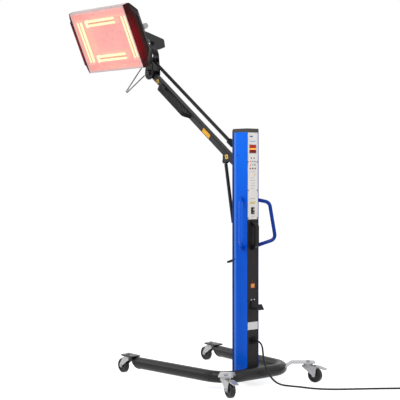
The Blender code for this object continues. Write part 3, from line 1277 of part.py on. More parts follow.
def glass():
    half_w = FACE_WIDTH / 2 - SEAT_GAP - GLASS_EDGE - SEAT_GAP
    half_h = FACE_HEIGHT / 2 - SHELL_WALL - SEAT_GAP - GLASS_EDGE - SEAT_GAP
    top = -FRAME_LIP - SEAT_GAP
    return block((-half_w, -half_h, top - GLASS_THICKNESS), (half_w, half_h, top), HEAD)


def reflector():
    """A folded bright sheet behind the lamps, with flared sides that stand on the shell's back."""
    half = FACE_HEIGHT / 2 - SHELL_WALL - SEAT_GAP
    top = -FRAME_DEPTH - SEAT_GAP
    back = -REFLECTOR_DEPTH
    wall = REFLECTOR_WALL
    floor = half - REFLECTOR_FLARE
    foot = -SHELL_DEPTH + SHELL_WALL + SEAT_GAP
    leg = FACE_HEIGHT / 5
    outline = ((half, top), (half - wall, top), (floor - wall, back), (-floor + wall, back),
               (-half + wall, top), (-half, top), (-floor, back - wall), (-leg - wall, back - wall),
               (-leg - wall, foot), (-leg, foot), (-leg, back - wall), (leg, back - wall), (leg, foot),
               (leg + wall, foot), (leg + wall, back - wall), (floor, back - wall))
    half_w = FACE_WIDTH / 2 - SEAT_GAP
    return prism(outline, -half_w, half_w, HEAD_SIDE)


def lamp(start, end):
    """A quartz tube with ceramic ends, each standing on a foot on the reflector."""
    start, end = HEAD @ Vector((*start, -LAMP_DEPTH)), HEAD @ Vector((*end, -LAMP_DEPTH))
    span = (end - start).length
    profile = ((LAMP_END_RADIUS, 0), (LAMP_END_RADIUS, LAMP_END_LENGTH), (LAMP_RADIUS, LAMP_END_LENGTH),
               (LAMP_RADIUS, span - LAMP_END_LENGTH), (LAMP_END_RADIUS, span - LAMP_END_LENGTH),
               (LAMP_END_RADIUS, span))
    made = turned(profile, pointing(start, end - start), SMALL_SIDES)
    top = -FACE_NORMAL * (LAMP_END_RADIUS / 3)
    foot = -FACE_NORMAL * (REFLECTOR_DEPTH - LAMP_DEPTH - SEAT_GAP)
    way = (end - start).normalized() * LAMP_END_LENGTH / 2
    for middle in (start + way, end - way):
        made = join(made, bar(middle + top, middle + foot, LAMP_RADIUS, SMALL_SIDES // 2))
    return made


def lamp_ends():
    side = FACE_WIDTH / 2 - LAMP_SIDE_INSET
    rise = FACE_HEIGHT / 2 - LAMP_TOP_INSET
    half = LAMP_LENGTH / 2
    return {
        "lamp_tube_right": ((side, -half), (side, half)),
        "lamp_tube_left": ((-side, -half), (-side, half)),
        "lamp_tube_top": ((-half, rise), (half, rise)),
        "lamp_tube_bottom": ((-half, -rise), (half, -rise)),
    }


def end_cap(side):
    """A moulded cap over the shell's open end, with a bulge between its flat ends."""
    base = FACE_WIDTH / 2 + SEAT_GAP
    outline = shell_side(-CAP_PLATE / 5)
    rounded_side = rounded(outline, (CAP_BULGE, 0, 0, CAP_BULGE, CAP_BULGE, CAP_BULGE), 3)
    half = FACE_HEIGHT / 2
    sections = []
    steps = ((0, 0, 0), (CAP_PLATE, 0, 0), (CAP_PLATE + CAP_BULGE / 4, CAP_BULGE_INSET / 2, 0),
             (CAP_BULGE * 5 / 6, CAP_BULGE_INSET, CAP_BULGE / 9),
             (CAP_BULGE, CAP_BULGE_INSET * 4 / 3, CAP_BULGE / 3))
    for out, inset, step_back in steps:
        share_v = 1 - inset / half
        share_n = 1 - inset / (SHELL_DEPTH * 3 / 2)
        section = []
        for v, n in rounded_side:
            section.append(HEAD @ Vector((side * (base + out), v * share_v, n * share_n - step_back)))
        sections.append(section)
    if side < 0:
        sections = [list(reversed(section)) for section in sections]
    return loft(sections)


def head_gland():
    """A closed gland on the back of the right-hand cap's end of the shell."""
    place = HEAD @ Vector((FACE_WIDTH / 2 - 2 * HEAD_GLAND_RADIUS, HEAD_GLAND_RISE, -SHELL_DEPTH - SEAT_GAP))
    frame = pointing(place, -FACE_NORMAL)
    radius = HEAD_GLAND_RADIUS
    profile = ((radius + 2 * WELD_DEPTH, 0), (radius + 2 * WELD_DEPTH, HEAD_GLAND_FOOT),
               (radius, HEAD_GLAND_FOOT), (radius, HEAD_GLAND_LENGTH - 2 * WELD_DEPTH),
               (radius - 2 * WELD_DEPTH, HEAD_GLAND_LENGTH))
    return turned(profile, frame)


# Mains lead. Its points are chosen by hand along the way it lies

LEAD_ROUTE = (
    (0.000, 0.0944, 0.240), (0.000, 0.1065, 0.240), (0.001, 0.1215, 0.2310), (0.002, 0.1325, 0.2165),
    (0.003, 0.1390, 0.196), (0.004, 0.1455, 0.164), (0.001, 0.1545, 0.124), (-0.014, 0.1640, 0.080),
    (-0.043, 0.1720, 0.039), (-0.080, 0.1850, 0.0128), (-0.112, 0.216, 0.0054), (-0.137, 0.275, 0.0054),
    (-0.159, 0.342, 0.0054), (-0.196, 0.400, 0.0054), (-0.246, 0.447, 0.0054), (-0.302, 0.488, 0.0054),
    (-0.362, 0.530, 0.0054), (-0.424, 0.574, 0.0054), (-0.485, 0.6195, 0.0054),
)


def smooth_route(route, spacing):
    """Points at a steady spacing on a smooth curve through a route's points."""
    places = [Vector(place) for place in route]
    fine = []
    for i in range(len(places) - 1):
        before = places[i - 1] if i else 2 * places[0] - places[1]
        after = places[i + 2] if i + 2 < len(places) else 2 * places[-1] - places[-2]
        for step in range(ROUND_SIDES):
            t = step / ROUND_SIDES
            fine.append(0.5 * (2 * places[i] + (places[i + 1] - before) * t
                               + (2 * before - 5 * places[i] + 4 * places[i + 1] - after) * t * t
                               + (3 * places[i] - before - 3 * places[i + 1] + after) * t ** 3))
    fine.append(places[-1])
    total = length_of(fine)
    count = ceil(total / spacing)
    points, walked, target = [fine[0]], 0.0, total / count
    for first, second in zip(fine, fine[1:]):
        span = (second - first).length
        while walked + span >= target and len(points) < count:
            points.append(first.lerp(second, (target - walked) / span))
            target += total / count
        walked += span
    points.append(fine[-1])
    return points


def length_of(points):
    return sum((second - first).length for first, second in zip(points, points[1:]))


def coil_path():
    """Two layers of loops: in along the floor, up half a turn, and out again on top."""
    half_turns = COIL_TURNS / 2
    outer = COIL_MEAN_RADIUS + COIL_PITCH * half_turns / 2
    heading = Vector((cos(LEAD_HEADING), sin(LEAD_HEADING), 0))
    inward = Vector((heading.y, -heading.x, 0))
    centre = Vector((*LEAD_ROUTE[-1][:2], 0)) + heading * LEAD_TO_COIL + inward * outer
    entry = -inward
    start = atan2(entry.y, entry.x)
    points = []
    for step in range(COIL_TURNS * COIL_POINTS + 1):
        turn = step / COIL_POINTS
        radius = outer - COIL_PITCH * min(turn, COIL_TURNS - turn)
        climb = min(1.0, max(0.0, (turn - half_turns + 0.25) * 2))
        height = CORD_REST + COIL_PITCH * climb
        angle = start - 2 * pi * turn
        points.append(centre + Vector((radius * cos(angle), radius * sin(angle), height)))
    return points


def tangent_entry(points):
    """A straight run of one diameter before the coil's first point, along its first heading."""
    heading = (points[0] - points[1]).normalized()
    return points[0] + heading * 2 * CORD_RADIUS


def coil_tail(points):
    """The end of the lead, eased down from the coil to the floor where the plug lies."""
    heading = (points[-1] - points[-2])
    heading.z = 0
    heading.normalize()
    outward = Vector((heading.y, -heading.x, 0))
    tail = []
    drop = points[-1].z - PLUG_AXIS
    for step in range(1, TAIL_STEPS + 1):
        share = step / TAIL_STEPS
        ease = share * share * (3 - 2 * share)
        tail.append(points[-1] + heading * TAIL_LENGTH * share - outward * TAIL_SWING * share * share
                    - Vector((0, 0, drop * ease)))
    last = (tail[-1] - tail[-2])
    last.z = 0
    tail.append(tail[-1] + last.normalized() * 2 * CORD_RADIUS)
    return tail


def self_gap(points):
    """The least clear distance between stretches of the coil that are over half a turn apart."""
    least = COIL_MEAN_RADIUS
    apart = COIL_POINTS // 2
    for i, place in enumerate(points):
        for j in range(i + apart, len(points) - 1):
            first, second = points[j], points[j + 1]
            span = second - first
            share = min(1.0, max(0.0, (place - first).dot(span) / span.length_squared))
            least = min(least, (place - first - span * share).length)
    return least - 2 * CORD_RADIUS


def plug(place, heading):
    """A moulded two-pin plug on its side, with a tapered sleeve over the lead."""
    side = Vector((0, 0, 1)).cross(heading)
    frame = Matrix.Identity(4)
    frame.col[0][:3] = side
    frame.col[1][:3] = (0, 0, 1)
    frame.col[2][:3] = heading
    frame.translation = place
    sections = []
    for along_share, width_share, height_share in ((0, 0.42, 0.5), (0.3, 0.55, 0.66), (0.62, 0.95, 0.94),
                                                   (0.68, 1, 1), (0.96, 1, 1), (1, 0.94, 0.93)):
        half_w, half_h = PLUG_HALF_WIDTH * width_share, PLUG_HALF_HEIGHT * height_share
        bend = half_h * 0.7
        outline = rounded(rectangle(-half_w, -half_h, half_w, half_h), bend, 2)
        sections.append([frame @ Vector((u, v, PLUG_LENGTH * along_share)) for u, v in outline])
    body = loft(sections)
    for way in (-1, 1):
        root = frame @ Vector((way * PLUG_PIN_SPACING / 2, 0, PLUG_LENGTH - WELD_DEPTH))
        tip = root + heading * (PLUG_PIN_LENGTH + WELD_DEPTH)
        body = join(body, bar(root, tip, PLUG_PIN_RADIUS, SMALL_SIDES))
    return body


# Assembly

def clear_scene():
    for thing in list(bpy.data.objects):
        bpy.data.objects.remove(thing, do_unlink=True)


def build_root(stand, colours):
    keep("base_frame", base_frame(), colours["dark_paint"], stand)
    for side, word in ((1, "right"), (-1, "left")):
        keep(f"rear_caster_bar_{word}", rear_bar(side), colours["zinc"], stand)
        keep(f"side_handle_{word}", side_handle(side), colours["blue_paint"], stand)
    keep("column_foot", column_foot(), colours["dark_paint"], stand)
    keep("column_profile", column_profile(), colours["blue_paint"], stand)
    keep("top_cap", top_cap(), colours["grey_plastic"], stand)
    keep("rear_cover", rear_cover(), colours["black_paint"], stand)
    keep("control_panel", control_panel(), colours["white_paint"], stand)
    keep("display_window", display_window(), colours["red_lens"], stand)
    keep("control_board", control_board(), colours["board"], stand)
    keep("power_module", power_module(), colours["zinc"], stand)
    keep("column_grip", column_grip(), colours["black_plastic"], stand)
    keep("cable_hook", cable_hook(), colours["black_plastic"], stand)
    keep("cord_gland", cord_gland(), colours["black_plastic"], stand)
    keep("arm_pivot_pin", column_pin(ARM_PIVOT, ARM_SIDE / 2), colours["zinc"], stand)
    keep("link_pivot_pin", column_pin(LINK_FOOT, LINK_EYE_WIDTH / 2), colours["zinc"], stand)
    keep("spring_anchor", spring_anchor(), colours["zinc"], stand)


def build_controls(stand, colours):
    middle = (SWITCH_LOW + SWITCH_HIGH) / 2
    switch = carrier("switch_axis", (0, COVER_FACE_Y - SWITCH_DEPTH / 2, middle), stand)
    keep("main_switch", main_switch(), colours["black_plastic"], switch)
    lever = carrier("lever_axis", LEVER_PLACE, stand)
    keep("release_lever", release_lever(), colours["black_plastic"], lever)
    for number, (x, z) in enumerate(key_places(), 1):
        place = carrier(f"key_{number}_way", (x, COVER_FACE_Y, z), stand)
        keep(f"key_{number}", push_key(x, z), colours["grey_plastic"], place)


def build_casters(stand, colours):
    for word, side in (("right", 1), ("left", -1)):
        for end, x, y, turn in (("front", FRONT_AXIS_X, FRONT_AXIS_Y, -pi / 2),
                                ("rear", REAR_AXIS_X, REAR_AXIS_Y, pi / 2 - side * REAR_TRAIL_TURN)):
            place = Vector((side * x, y, 0))
            frame = Matrix.Translation(place) @ Matrix.Rotation(turn, 4, "Z")
            braked = end == "rear"
            bottom = REAR_BAR_BOTTOM if braked else FRONT_PLATE_BOTTOM
            thick = REAR_BAR_THICKNESS if braked else FRONT_PLATE_THICKNESS
            swivel = carrier(f"{end}_{word}_king_pin", place, stand)
            fork = caster_fork(frame, bottom, thick, braked)
            keep(f"caster_fork_{end}_{word}", fork, colours["zinc"], swivel)
            axle = carrier(f"{end}_{word}_axle", frame @ Vector((CASTER_TRAIL, 0, WHEEL_RADIUS)), swivel)
            keep(f"caster_wheel_{end}_{word}", caster_wheel(frame), colours["tyre"], axle)
            if braked:
                hinge = carrier(f"{word}_pedal_axis", frame @ Vector((PEDAL_PIN_X, 0, PEDAL_PIN_Z)), swivel)
                keep(f"brake_pedal_{word}", brake_pedal(frame), colours["zinc"], hinge)


def build_linkage(stand, colours):
    arm = carrier("arm_axis", ARM_PIVOT, stand)
    keep("arm_tube", arm_tube(), colours["dark_paint"], arm)
    keep("arm_grip", arm_grip(), colours["black_plastic"], arm)
    rod = carrier("link_rod_axis", LINK_FOOT, stand)
    keep("link_rod", link_rod(), colours["dark_paint"], rod)
    cylinder = carrier("spring_axis", SPRING_TOP, arm)
    keep("spring_cylinder", spring_cylinder(), colours["black_paint"], cylinder)
    shaft = carrier("spring_rod_way", SPRING_FOOT, cylinder)
    keep("spring_rod", spring_rod(), colours["zinc"], shaft)
    link = carrier("head_link_axis", ARM_END, arm)
    keep("head_link", head_link(), colours["dark_paint"], link)
    keep("head_pivot_pin", head_pin(ARM_END, ARM_SIDE / 2), colours["zinc"], link)
    keep("link_head_pin", head_pin(LINK_HEAD, LINK_EYE_WIDTH / 2), colours["zinc"], link)
    gauge = carrier("gauge_axis", GAUGE_PLACE, link)
    keep("distance_gauge", distance_gauge(), colours["zinc"], gauge)
    return link


def build_head(link, colours):
    pan = carrier("pan_axis", PAN_AXIS, link)
    keep("swivel_bracket", swivel_bracket(), colours["dark_paint"], pan)
    tilt = carrier("tilt_axis", TILT_AXIS, pan)
    keep("back_shell", back_shell(), colours["dark_paint"], tilt)
    keep("tilt_knob", tilt_knob(), colours["black_plastic"], tilt)
    keep("front_frame", front_frame(), colours["bright"], tilt)
    keep("glass", glass(), colours["glass"], tilt)
    keep("reflector", reflector(), colours["reflector"], tilt)
    for name, (start, end) in lamp_ends().items():
        keep(name, lamp(start, end), colours["lamp"], tilt)
    keep("end_cap_right", end_cap(1), colours["cap_plastic"], tilt)
    keep("end_cap_left", end_cap(-1), colours["cap_plastic"], tilt)
    keep("head_gland", head_gland(), colours["grey_plastic"], tilt)


def build_cord(stand, colours):
    loops = coil_path()
    entry = tangent_entry(loops)
    coil = [entry] + loops + coil_tail(loops)
    meeting = entry + (entry - loops[0]).normalized() * SEAT_GAP
    lead_in = meeting + (entry - loops[0]).normalized() * 4 * CORD_RADIUS
    route = [*LEAD_ROUTE, tuple(lead_in), tuple(meeting)]
    lead = smooth_route(route, LEAD_SPACING)
    keep("cord_lead", tube(lead, CORD_RADIUS, resolution=2), colours["rubber"], stand)
    keep("cord_coil", tube(coil, CORD_RADIUS, resolution=1), colours["rubber"], stand)
    heading = (coil[-1] - coil[-2]).normalized()
    keep("plug", plug(coil[-1] + heading * SEAT_GAP, heading), colours["black_plastic"], stand)
    print(f"coil self gap {self_gap(loops) * 1000:.2f} mm")
    print(f"lead {length_of(lead):.3f} m, coil {length_of(coil):.3f} m")


def centre_on_base(stand):
    """Moves the stand so that the origin is under the middle of the rigid object, on the floor."""
    bpy.context.view_layer.update()
    low, high = Vector((1, 1, 1)) * ARM_LENGTH * 9, Vector((1, 1, 1)) * -ARM_LENGTH * 9
    for made in bpy.data.objects:
        if made.type != "MESH" or made.name in ("cord_lead", "cord_coil", "plug"):
            continue
        for vertex in made.data.vertices:
            place = made.matrix_world @ vertex.co
            for axis in range(3):
                low[axis] = min(low[axis], place[axis])
                high[axis] = max(high[axis], place[axis])
    stand.location -= Vector(((low.x + high.x) / 2, (low.y + high.y) / 2, low.z))
    bpy.context.view_layer.update()


def main():
    clear_scene()
    colours = {
        "blue_paint": paint("blue_paint", (0.010, 0.105, 0.72), 0.30),
        "dark_paint": paint("dark_paint", (0.040, 0.040, 0.042), 0.42),
        "cap_plastic": paint("cap_plastic", (0.10, 0.004, 0.006), 0.25),
        "black_paint": paint("black_paint", (0.016, 0.015, 0.015), 0.45),
        "white_paint": paint("white_paint", (0.76, 0.74, 0.70), 0.45),
        "zinc": paint("zinc", (0.66, 0.66, 0.66), 0.35, 0.8),
        "tyre": paint("tyre", (0.012, 0.012, 0.012), 0.6),
        "rubber": paint("rubber", (0.010, 0.010, 0.010), 0.5),
        "black_plastic": paint("black_plastic", (0.014, 0.014, 0.014), 0.4),
        "grey_plastic": paint("grey_plastic", (0.09, 0.09, 0.09), 0.5),
        "red_lens": paint("red_lens", (0.50, 0.03, 0.01), 0.2),
        "board": paint("board", (0.02, 0.16, 0.06), 0.5),
        "bright": paint("bright", (0.62, 0.56, 0.55), 0.3, 0.9),
        "reflector": paint("reflector", (0.86, 0.55, 0.50), 0.2, 0.9),
        "glass": paint("glass", (0.95, 0.45, 0.42), 0.05),
        "lamp": paint("lamp", (1.0, 0.95, 0.75), 0.2),
    }
    stand = carrier("stand", (0, 0, 0))
    build_root(stand, colours)
    build_controls(stand, colours)
    build_casters(stand, colours)
    link = build_linkage(stand, colours)
    build_head(link, colours)
    build_cord(stand, colours)
    centre_on_base(stand)


main()
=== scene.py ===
"""Looks of the infrared paint curing lamp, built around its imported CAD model.

Places are in metres in the stand's own layout: the column on the Z axis, the arm towards -Y, the
control panel towards +Y. The function here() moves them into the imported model's frame.
"""

import json
from math import atan2, ceil, cos, pi, radians, sin

import bpy
from mathutils import Matrix, Vector


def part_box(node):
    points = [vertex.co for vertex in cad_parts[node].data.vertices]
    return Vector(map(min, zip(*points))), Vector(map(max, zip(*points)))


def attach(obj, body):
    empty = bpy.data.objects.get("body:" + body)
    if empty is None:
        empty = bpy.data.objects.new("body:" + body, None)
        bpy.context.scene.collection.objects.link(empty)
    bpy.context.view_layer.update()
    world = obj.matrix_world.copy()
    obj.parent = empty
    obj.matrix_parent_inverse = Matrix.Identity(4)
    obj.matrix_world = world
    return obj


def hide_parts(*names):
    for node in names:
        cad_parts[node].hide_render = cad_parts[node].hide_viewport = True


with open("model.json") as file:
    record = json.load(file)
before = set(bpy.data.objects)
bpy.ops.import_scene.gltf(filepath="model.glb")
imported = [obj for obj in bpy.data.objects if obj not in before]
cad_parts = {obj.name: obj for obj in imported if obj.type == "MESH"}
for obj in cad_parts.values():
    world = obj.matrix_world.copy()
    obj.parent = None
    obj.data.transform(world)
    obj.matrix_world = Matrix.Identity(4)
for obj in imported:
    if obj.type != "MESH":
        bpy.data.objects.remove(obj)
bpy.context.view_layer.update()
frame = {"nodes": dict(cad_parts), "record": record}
NODES = frame["nodes"]

X, Y, Z = Vector((1, 0, 0)), Vector((0, 1, 0)), Vector((0, 0, 1))

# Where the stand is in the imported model
COLUMN_LOW, COLUMN_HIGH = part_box("column_profile")
ORIGIN = Vector(((COLUMN_LOW.x + COLUMN_HIGH.x) / 2, (COLUMN_LOW.y + COLUMN_HIGH.y) / 2, 0))

# The photograph's camera
CAMERA_PLACE = (3.92, 4.25, 1.154)
CAMERA_LOOK = (-0.646, -0.763, 0)
SENSOR_WIDTH = 36
LENS = 96.1
CAMERA_SHIFT = -0.075
CAMERA_REACH = 100

# Studio: name, place, target, size and power of each soft lamp
FLOOR_SIZE = 40
FLOOR_COLOUR = (0.80, 0.80, 0.80, 1)
FLOOR_ROUGHNESS = 0.9
WHITE = (1, 1, 1, 1)
FLOOR_LIFT = 0.72
WORLD_LIGHT = 0.42
SOFT_LAMPS = (
    ("key_lamp", (3.4, 0.9, 3.2), (0, -0.2, 1.0), (2.4, 2.4), 78),
    ("rear_lamp", (-1.2, 4.2, 2.6), (0, 0, 0.9), (2.2, 2.2), 62),
    ("fill_lamp", (2.0, -3.6, 2.4), (0, -0.4, 1.2), (3.0, 2.0), 26),
)

# Column
HALF_WIDTH = (COLUMN_HIGH.x - COLUMN_LOW.x) / 2
HALF_DEPTH = (COLUMN_HIGH.y - COLUMN_LOW.y) / 2
FLANGE = 0.003
FLANGE_GAP = 0.0002
# The front strip is painted shade on the column's rounded front edge
SHADE_STRIP_WIDTH = 0.0125
SHADE_STRIP_PLACE = 0.0078

# Column's paint: where its painted highlight grows and fades behind the front edge, and where painted light
# makes its top lighter
HIGHLIGHT_RISE = (0.013, 0.019)
HIGHLIGHT_FALL = (0.024, 0.034)
PAINTED_LIGHT_TOP = (0.75, 1.25)

# Thin pieces: how far they stand out and reach in, their bevelled rims and their corners
PROUD = 0.0006
UNDER = 0.0001
RIM = 0.0003
THIN_RIM = 0.0002
FINE_RIM = 0.0001
PRINT_RIM = 0.00005
PLATE_CORNER = 0.001
OPENING_CORNER = 0.0006
RIM_CORNER = 0.002
CORNER_STEPS = 4

# Control panel: the display's bands as shares of its height, from its top
PANEL_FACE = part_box("control_panel")[1].y - ORIGIN.y
DISPLAY_BANDS = (("display_upper", 0.00, 0.40, "lit"), ("display_middle", 0.40, 0.60, "band"),
                 ("display_lower", 0.60, 1.00, "dim"))
DISPLAY_SIDE_GAP = 0.001
DISPLAY_BAND_GAP = 0.0008
DISPLAY_LIFT = 0.0003
DISPLAY_RIM = (0.006, 0.005)
DISPLAY_RIM_HEIGHT = 0.0009

# Indicator lights: the height of each row, with the place and finish of each light in it
LIGHT_ROWS = (
    (1.218, ((-0.010, "dark_dot"), (0.010, "dark_dot"))),
    (1.200, ((-0.016, "red_dot"), (0, "print_blue"), (0.016, "dark_dot"))),
    (1.181, ((-0.016, "red_dot"), (0, "green_dot"), (0.016, "dark_dot"))),
    (1.128, ((0.012, "yellow"),)),
)
LIGHT_PROFILE = ((0.0039, -UNDER), (0.0039, 0.0006), (0.0029, 0.0013), (0.0012, 0.0016))
LIGHT_SIDES = 16

# Print without words: height above the floor, width, tallness, place and finish of each bar
PRINT_BARS = (
    (1.334, 0.022, 0.008, -0.010, "print_blue"), (1.308, 0.040, 0.005, 0, "print_pale"),
    (1.189, 0.044, 0.0012, 0, "print"), (1.144, 0.040, 0.002, 0, "print"),
    (1.112, 0.030, 0.002, -0.004, "print"), (1.098, 0.036, 0.002, 0, "print"),
    (1.084, 0.030, 0.002, 0.004, "print"), (1.070, 0.036, 0.002, 0, "print"),
    (1.056, 0.026, 0.002, -0.004, "print"), (1.000, 0.036, 0.003, 0, "print"),
    (0.978, 0.040, 0.013, 0, "print_yellow"), (0.905, 0.030, 0.002, 0, "print"),
)

# Rocker switch
SWITCH_ROCK = 0.003
BEZEL = (0.007, 0.011)
BEZEL_GAP = (0.002, 0.006)
BEZEL_HEIGHT = 0.0014
FIELD_INSET = 0.0012
FIELD_CORNER = 0.0008
UPPER_FIELD_SHARES = (0.42, 0.24)
LOWER_FIELD_SHARES = (0.21, 0.125)

# Rear cover's patches: name, height above the floor, rectangle (a corner's radius last), finish and rim
COVER_PLATES = (
    ("orange_patch", 0.533, (0.026, 0.021, 0, 0, PLATE_CORNER), "orange", RIM),
    ("orange_patch_edge", 0.533, (0.026, 0.004, 0, -0.0125), "mark", FINE_RIM),
    ("dark_patch", 0.553, (0.007, 0.012, -0.004), "mark", FINE_RIM),
    ("bare_plate", 0.318, (0.074, 0.041, 0, 0, PLATE_CORNER), "label", RIM),
)

# The lead's inlet on the rear cover: a plate with a round bore
INLET_Z = 0.240
INLET_BORE = 0.0137
INLET_SIDES = 20
INLET_HALF = (0.024, 0.020)
INLET_HEIGHT = 0.0014
TINY = 1e-6

# Screws and rivets: their places, then the radius, height and finish of each group's heads
SIDE_SCREW_INSET = 0.0085
PANEL_SCREWS_Z = (1.198, 1.045, 0.896)
COVER_SCREWS_Z = (0.870, 0.620, 0.380, 0.080)
HOOK_SCREWS_Z = 0.4575
HOOK_SCREW_SIDE = 0.011
INLET_SCREW_PLACE = (0.019, 0.015)
FRAME_SCREW_INSET = (0.0056, 0.0078)
RIVET_PLACE = (0.215, 0.085)
HEADS = {
    "panel_screws": (0.0034, 0.0014, "screw"),
    "gland_plate_screws": (0.0026, 0.0024, "screw"),
    "hook_screws": (0.0042, 0.0022, "steel"),
    "cover_screws": (0.0030, 0.0014, "screw"),
    "frame_screws": (0.0030, 0.0012, "steel"),
    "shell_rivets": (0.0036, 0.0016, "steel"),
}
HEAD_SIDES = 14

# Arm
ARM_PIVOT = Vector((0, -0.015, 1.148))
ARM_SLOPE = radians(36)
ARM_LENGTH = 0.994
ARM_SIDE = 0.035
ARM_WAY = Vector((0, -cos(ARM_SLOPE), sin(ARM_SLOPE)))
ARM_RISE = Vector((0, sin(ARM_SLOPE), cos(ARM_SLOPE)))
ARM_END = ARM_PIVOT + ARM_WAY * ARM_LENGTH

# Patches on the arm: places are along it from its pivot and above its middle
DIAMOND_PLACES = ((0.905, 0.0), (0.142, -0.006))
DIAMOND = ((0.0175, 0), (0, 0.0165), (-0.0175, 0), (0, -0.0165))
DIAMOND_MARK = ((0.0052, -0.0035), (0, 0.0060), (-0.0052, -0.0035))
MARK_PROUD = PROUD * 1.6
ARM_PATCH = (0.073, 0.025, 0, 0, PLATE_CORNER)
ARM_PATCH_PLACE = (0.360, 0.001)

# Link rod's adjusting sleeve: its section, with the corners' radius last, and its span along the rod
LINK_OFFSET = 0.083
ROD_SLEEVE = (0.026, 0.028, 0, 0, 0.005)
ROD_SLEEVE_SPAN = (0.100, 0.146)
ROD_SLEEVE_RIM = 0.001

# Head
HEAD_REACH = 0.363
HEAD_CENTRE_Z = 1.9000
HEAD_PAN = radians(4.3)
HEAD_TILT = radians(24.9)
FACE_WIDTH = 0.478
FACE_HEIGHT = 0.371
SHELL_DEPTH = 0.092

# Reflector's ends: thin walls that close the flared sheet at both sides
REFLECTOR_DEPTH = 0.038
REFLECTOR_FLARE = 0.022
REFLECTOR_GAP = 0.003
REFLECTOR_FLOOR_GAP = 0.0014
REFLECTOR_LIFT = 0.0003
END_SIDE_GAP = 0.0050
END_RISE_GAP = 0.0020
END_TOP_DEPTH = 0.0065
END_HALF_WALL = 0.0006

# Head's gland and the nut on it
GLAND_RADIUS = 0.012
GLAND_LENGTH = 0.046
GLAND_RISE = 0.020
NUT_RADIUS = 0.0175
NUT_START = GLAND_LENGTH * 0.38
NUT_TIP = GLAND_LENGTH + 0.008
NUT_PROFILE = ((NUT_RADIUS * 0.94, NUT_START), (NUT_RADIUS, NUT_START + 0.002),
               (NUT_RADIUS, NUT_TIP - 0.010), (NUT_RADIUS * 0.94, NUT_TIP - 0.008))
NOSE_PROFILE = ((NUT_RADIUS * 0.84, NUT_TIP - 0.009), (NUT_RADIUS * 0.84, NUT_TIP - 0.003),
                (NUT_RADIUS * 0.62, NUT_TIP))
NUT_SIDES = 6
NOSE_SIDES = 20
NUT_RIM = 0.0006

# Back of the shell
VENT_COUNT = 6
VENT = (0.052, 0.0042)
VENT_SIDE = 0.130
VENT_STEP = 0.013
VENT_CORNER = 0.002
VENT_HEIGHT = 0.0008
SHELL_PLATE = (0.066, 0.028, 0, 0, 0.002)
SHELL_PLATE_EDGE = (0.070, 0.032, 0, 0, 0.003)
SHELL_PLATE_PLACE = (-0.130, -0.078, 0)
SHELL_PLATE_HEIGHT = 0.0004
SHELL_EDGE_HEIGHT = 0.0005

# End caps' front lips
CAP_LIP = ((-0.148, -0.001), (0.148, -0.001), (0.148, 0.0062), (0.135, 0.0280), (-0.135, 0.0280),
           (-0.148, 0.0062))
CAP_LIP_SPAN = (-0.046, -0.0012)
CAP_LIP_RIM = 0.0035

# Red light on the end caps: shares of half the face's height, and depths behind the face
CAP_GLOW_SHARES = (-0.90, -0.35, 0.10, 0.75)
CAP_GLOW_DEPTHS = (0.046, 0.012)

# Lamps: each has two parallel quartz tubes with a flat web between, and a block at each end
LAMP_LENGTH = 0.276
LAMP_DEPTH = 0.0140
LAMP_SIDE = 0.197
LAMP_RISE = 0.1075
LAMPS = (("right", LAMP_SIDE, 0, pi / 2), ("left", -LAMP_SIDE, 0, pi / 2), ("top", 0, LAMP_RISE, 0),
         ("bottom", 0, -LAMP_RISE, 0))
LEG_RADIUS = 0.0076
LEG_SPREAD = 0.0122
LEG_SIDES = 14
LEG_RAMP = 0.004
LEG_TIP_SHARE = 0.7
WEB_THICKNESS = 0.005
WEB_MARGIN = 0.03
WEB_OVERLAP = 0.002
WEB_RIM = 0.0005
BLOCK_LENGTH = 0.014
BLOCK_WIDTH = 0.044
BLOCK_CORNER = 0.003
BLOCK_SPAN = (-0.009, 0.0092)
BLOCK_RIM = 0.0008
FOOT_SHARES = (0.6, 0.4)
FOOT_TOP = -0.0088
FOOT_LIFT = 0.0004

# Distance gauge: its wire's two feet, its tip and the sleeves on its legs
GAUGE_X = 0.041
GAUGE_LOW = 0.0015
GAUGE_HIGH = 0.0825
GAUGE_REACH = 0.178
GAUGE_TIP = -0.147
SLEEVE_RADIUS = 0.0036
SLEEVE_TIP_SHARE = 0.8
SLEEVE_START_SHARE = 0.12
SLEEVE_RAMP = 0.002
SLEEVE_FULL_END = 0.038
SLEEVE_END = 0.035
SLEEVE_SIDES = 12

# Mains lead
CORD_RADIUS = 0.005
CORD_REST = 0.0053
COIL_TURNS = 7
COIL_MEAN_RADIUS = 0.060
COIL_PITCH = 0.0107
COIL_POINTS = 24
CLIMB_TURNS = 0.5
LEAD_HEADING = radians(142)
LEAD_TO_COIL = 0.122
LEAD_SPACING = 0.018
ROUTE_STEPS = 20
TAIL_STEPS = 6
TAIL_LENGTH = 0.085
TAIL_SWING = 0.012
PLUG_AXIS = 0.0128
STRAP_DEGREES = (70, 250)
STRAP_HALF_WIDTH = 0.008
STRAP_WALL = (0.0024, 0.0013)
STRAP_SLACK = (0.002, -0.0003)
STRAP_RISE = 0.0005
STRAP_CORNERS = (0.006, 0.005)
LEAD_ROUTE = (
    (0.000, 0.0944, 0.240), (0.000, 0.1065, 0.2388), (0.001, 0.1215, 0.2306), (0.002, 0.1332, 0.2175),
    (0.003, 0.1390, 0.196), (0.004, 0.1455, 0.164), (0.001, 0.1545, 0.124), (-0.014, 0.1640, 0.080),
    (-0.043, 0.1720, 0.039), (-0.080, 0.1850, 0.0128), (-0.112, 0.216, 0.0054), (-0.137, 0.275, 0.0054),
    (-0.159, 0.342, 0.0054), (-0.196, 0.400, 0.0054), (-0.246, 0.447, 0.0054), (-0.302, 0.488, 0.0054),
    (-0.362, 0.530, 0.0054), (-0.424, 0.574, 0.0054), (-0.485, 0.6195, 0.0054),
)


def here(x, y, z):
    """A point of the stand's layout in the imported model's frame."""
    return ORIGIN + Vector((x, y, z))


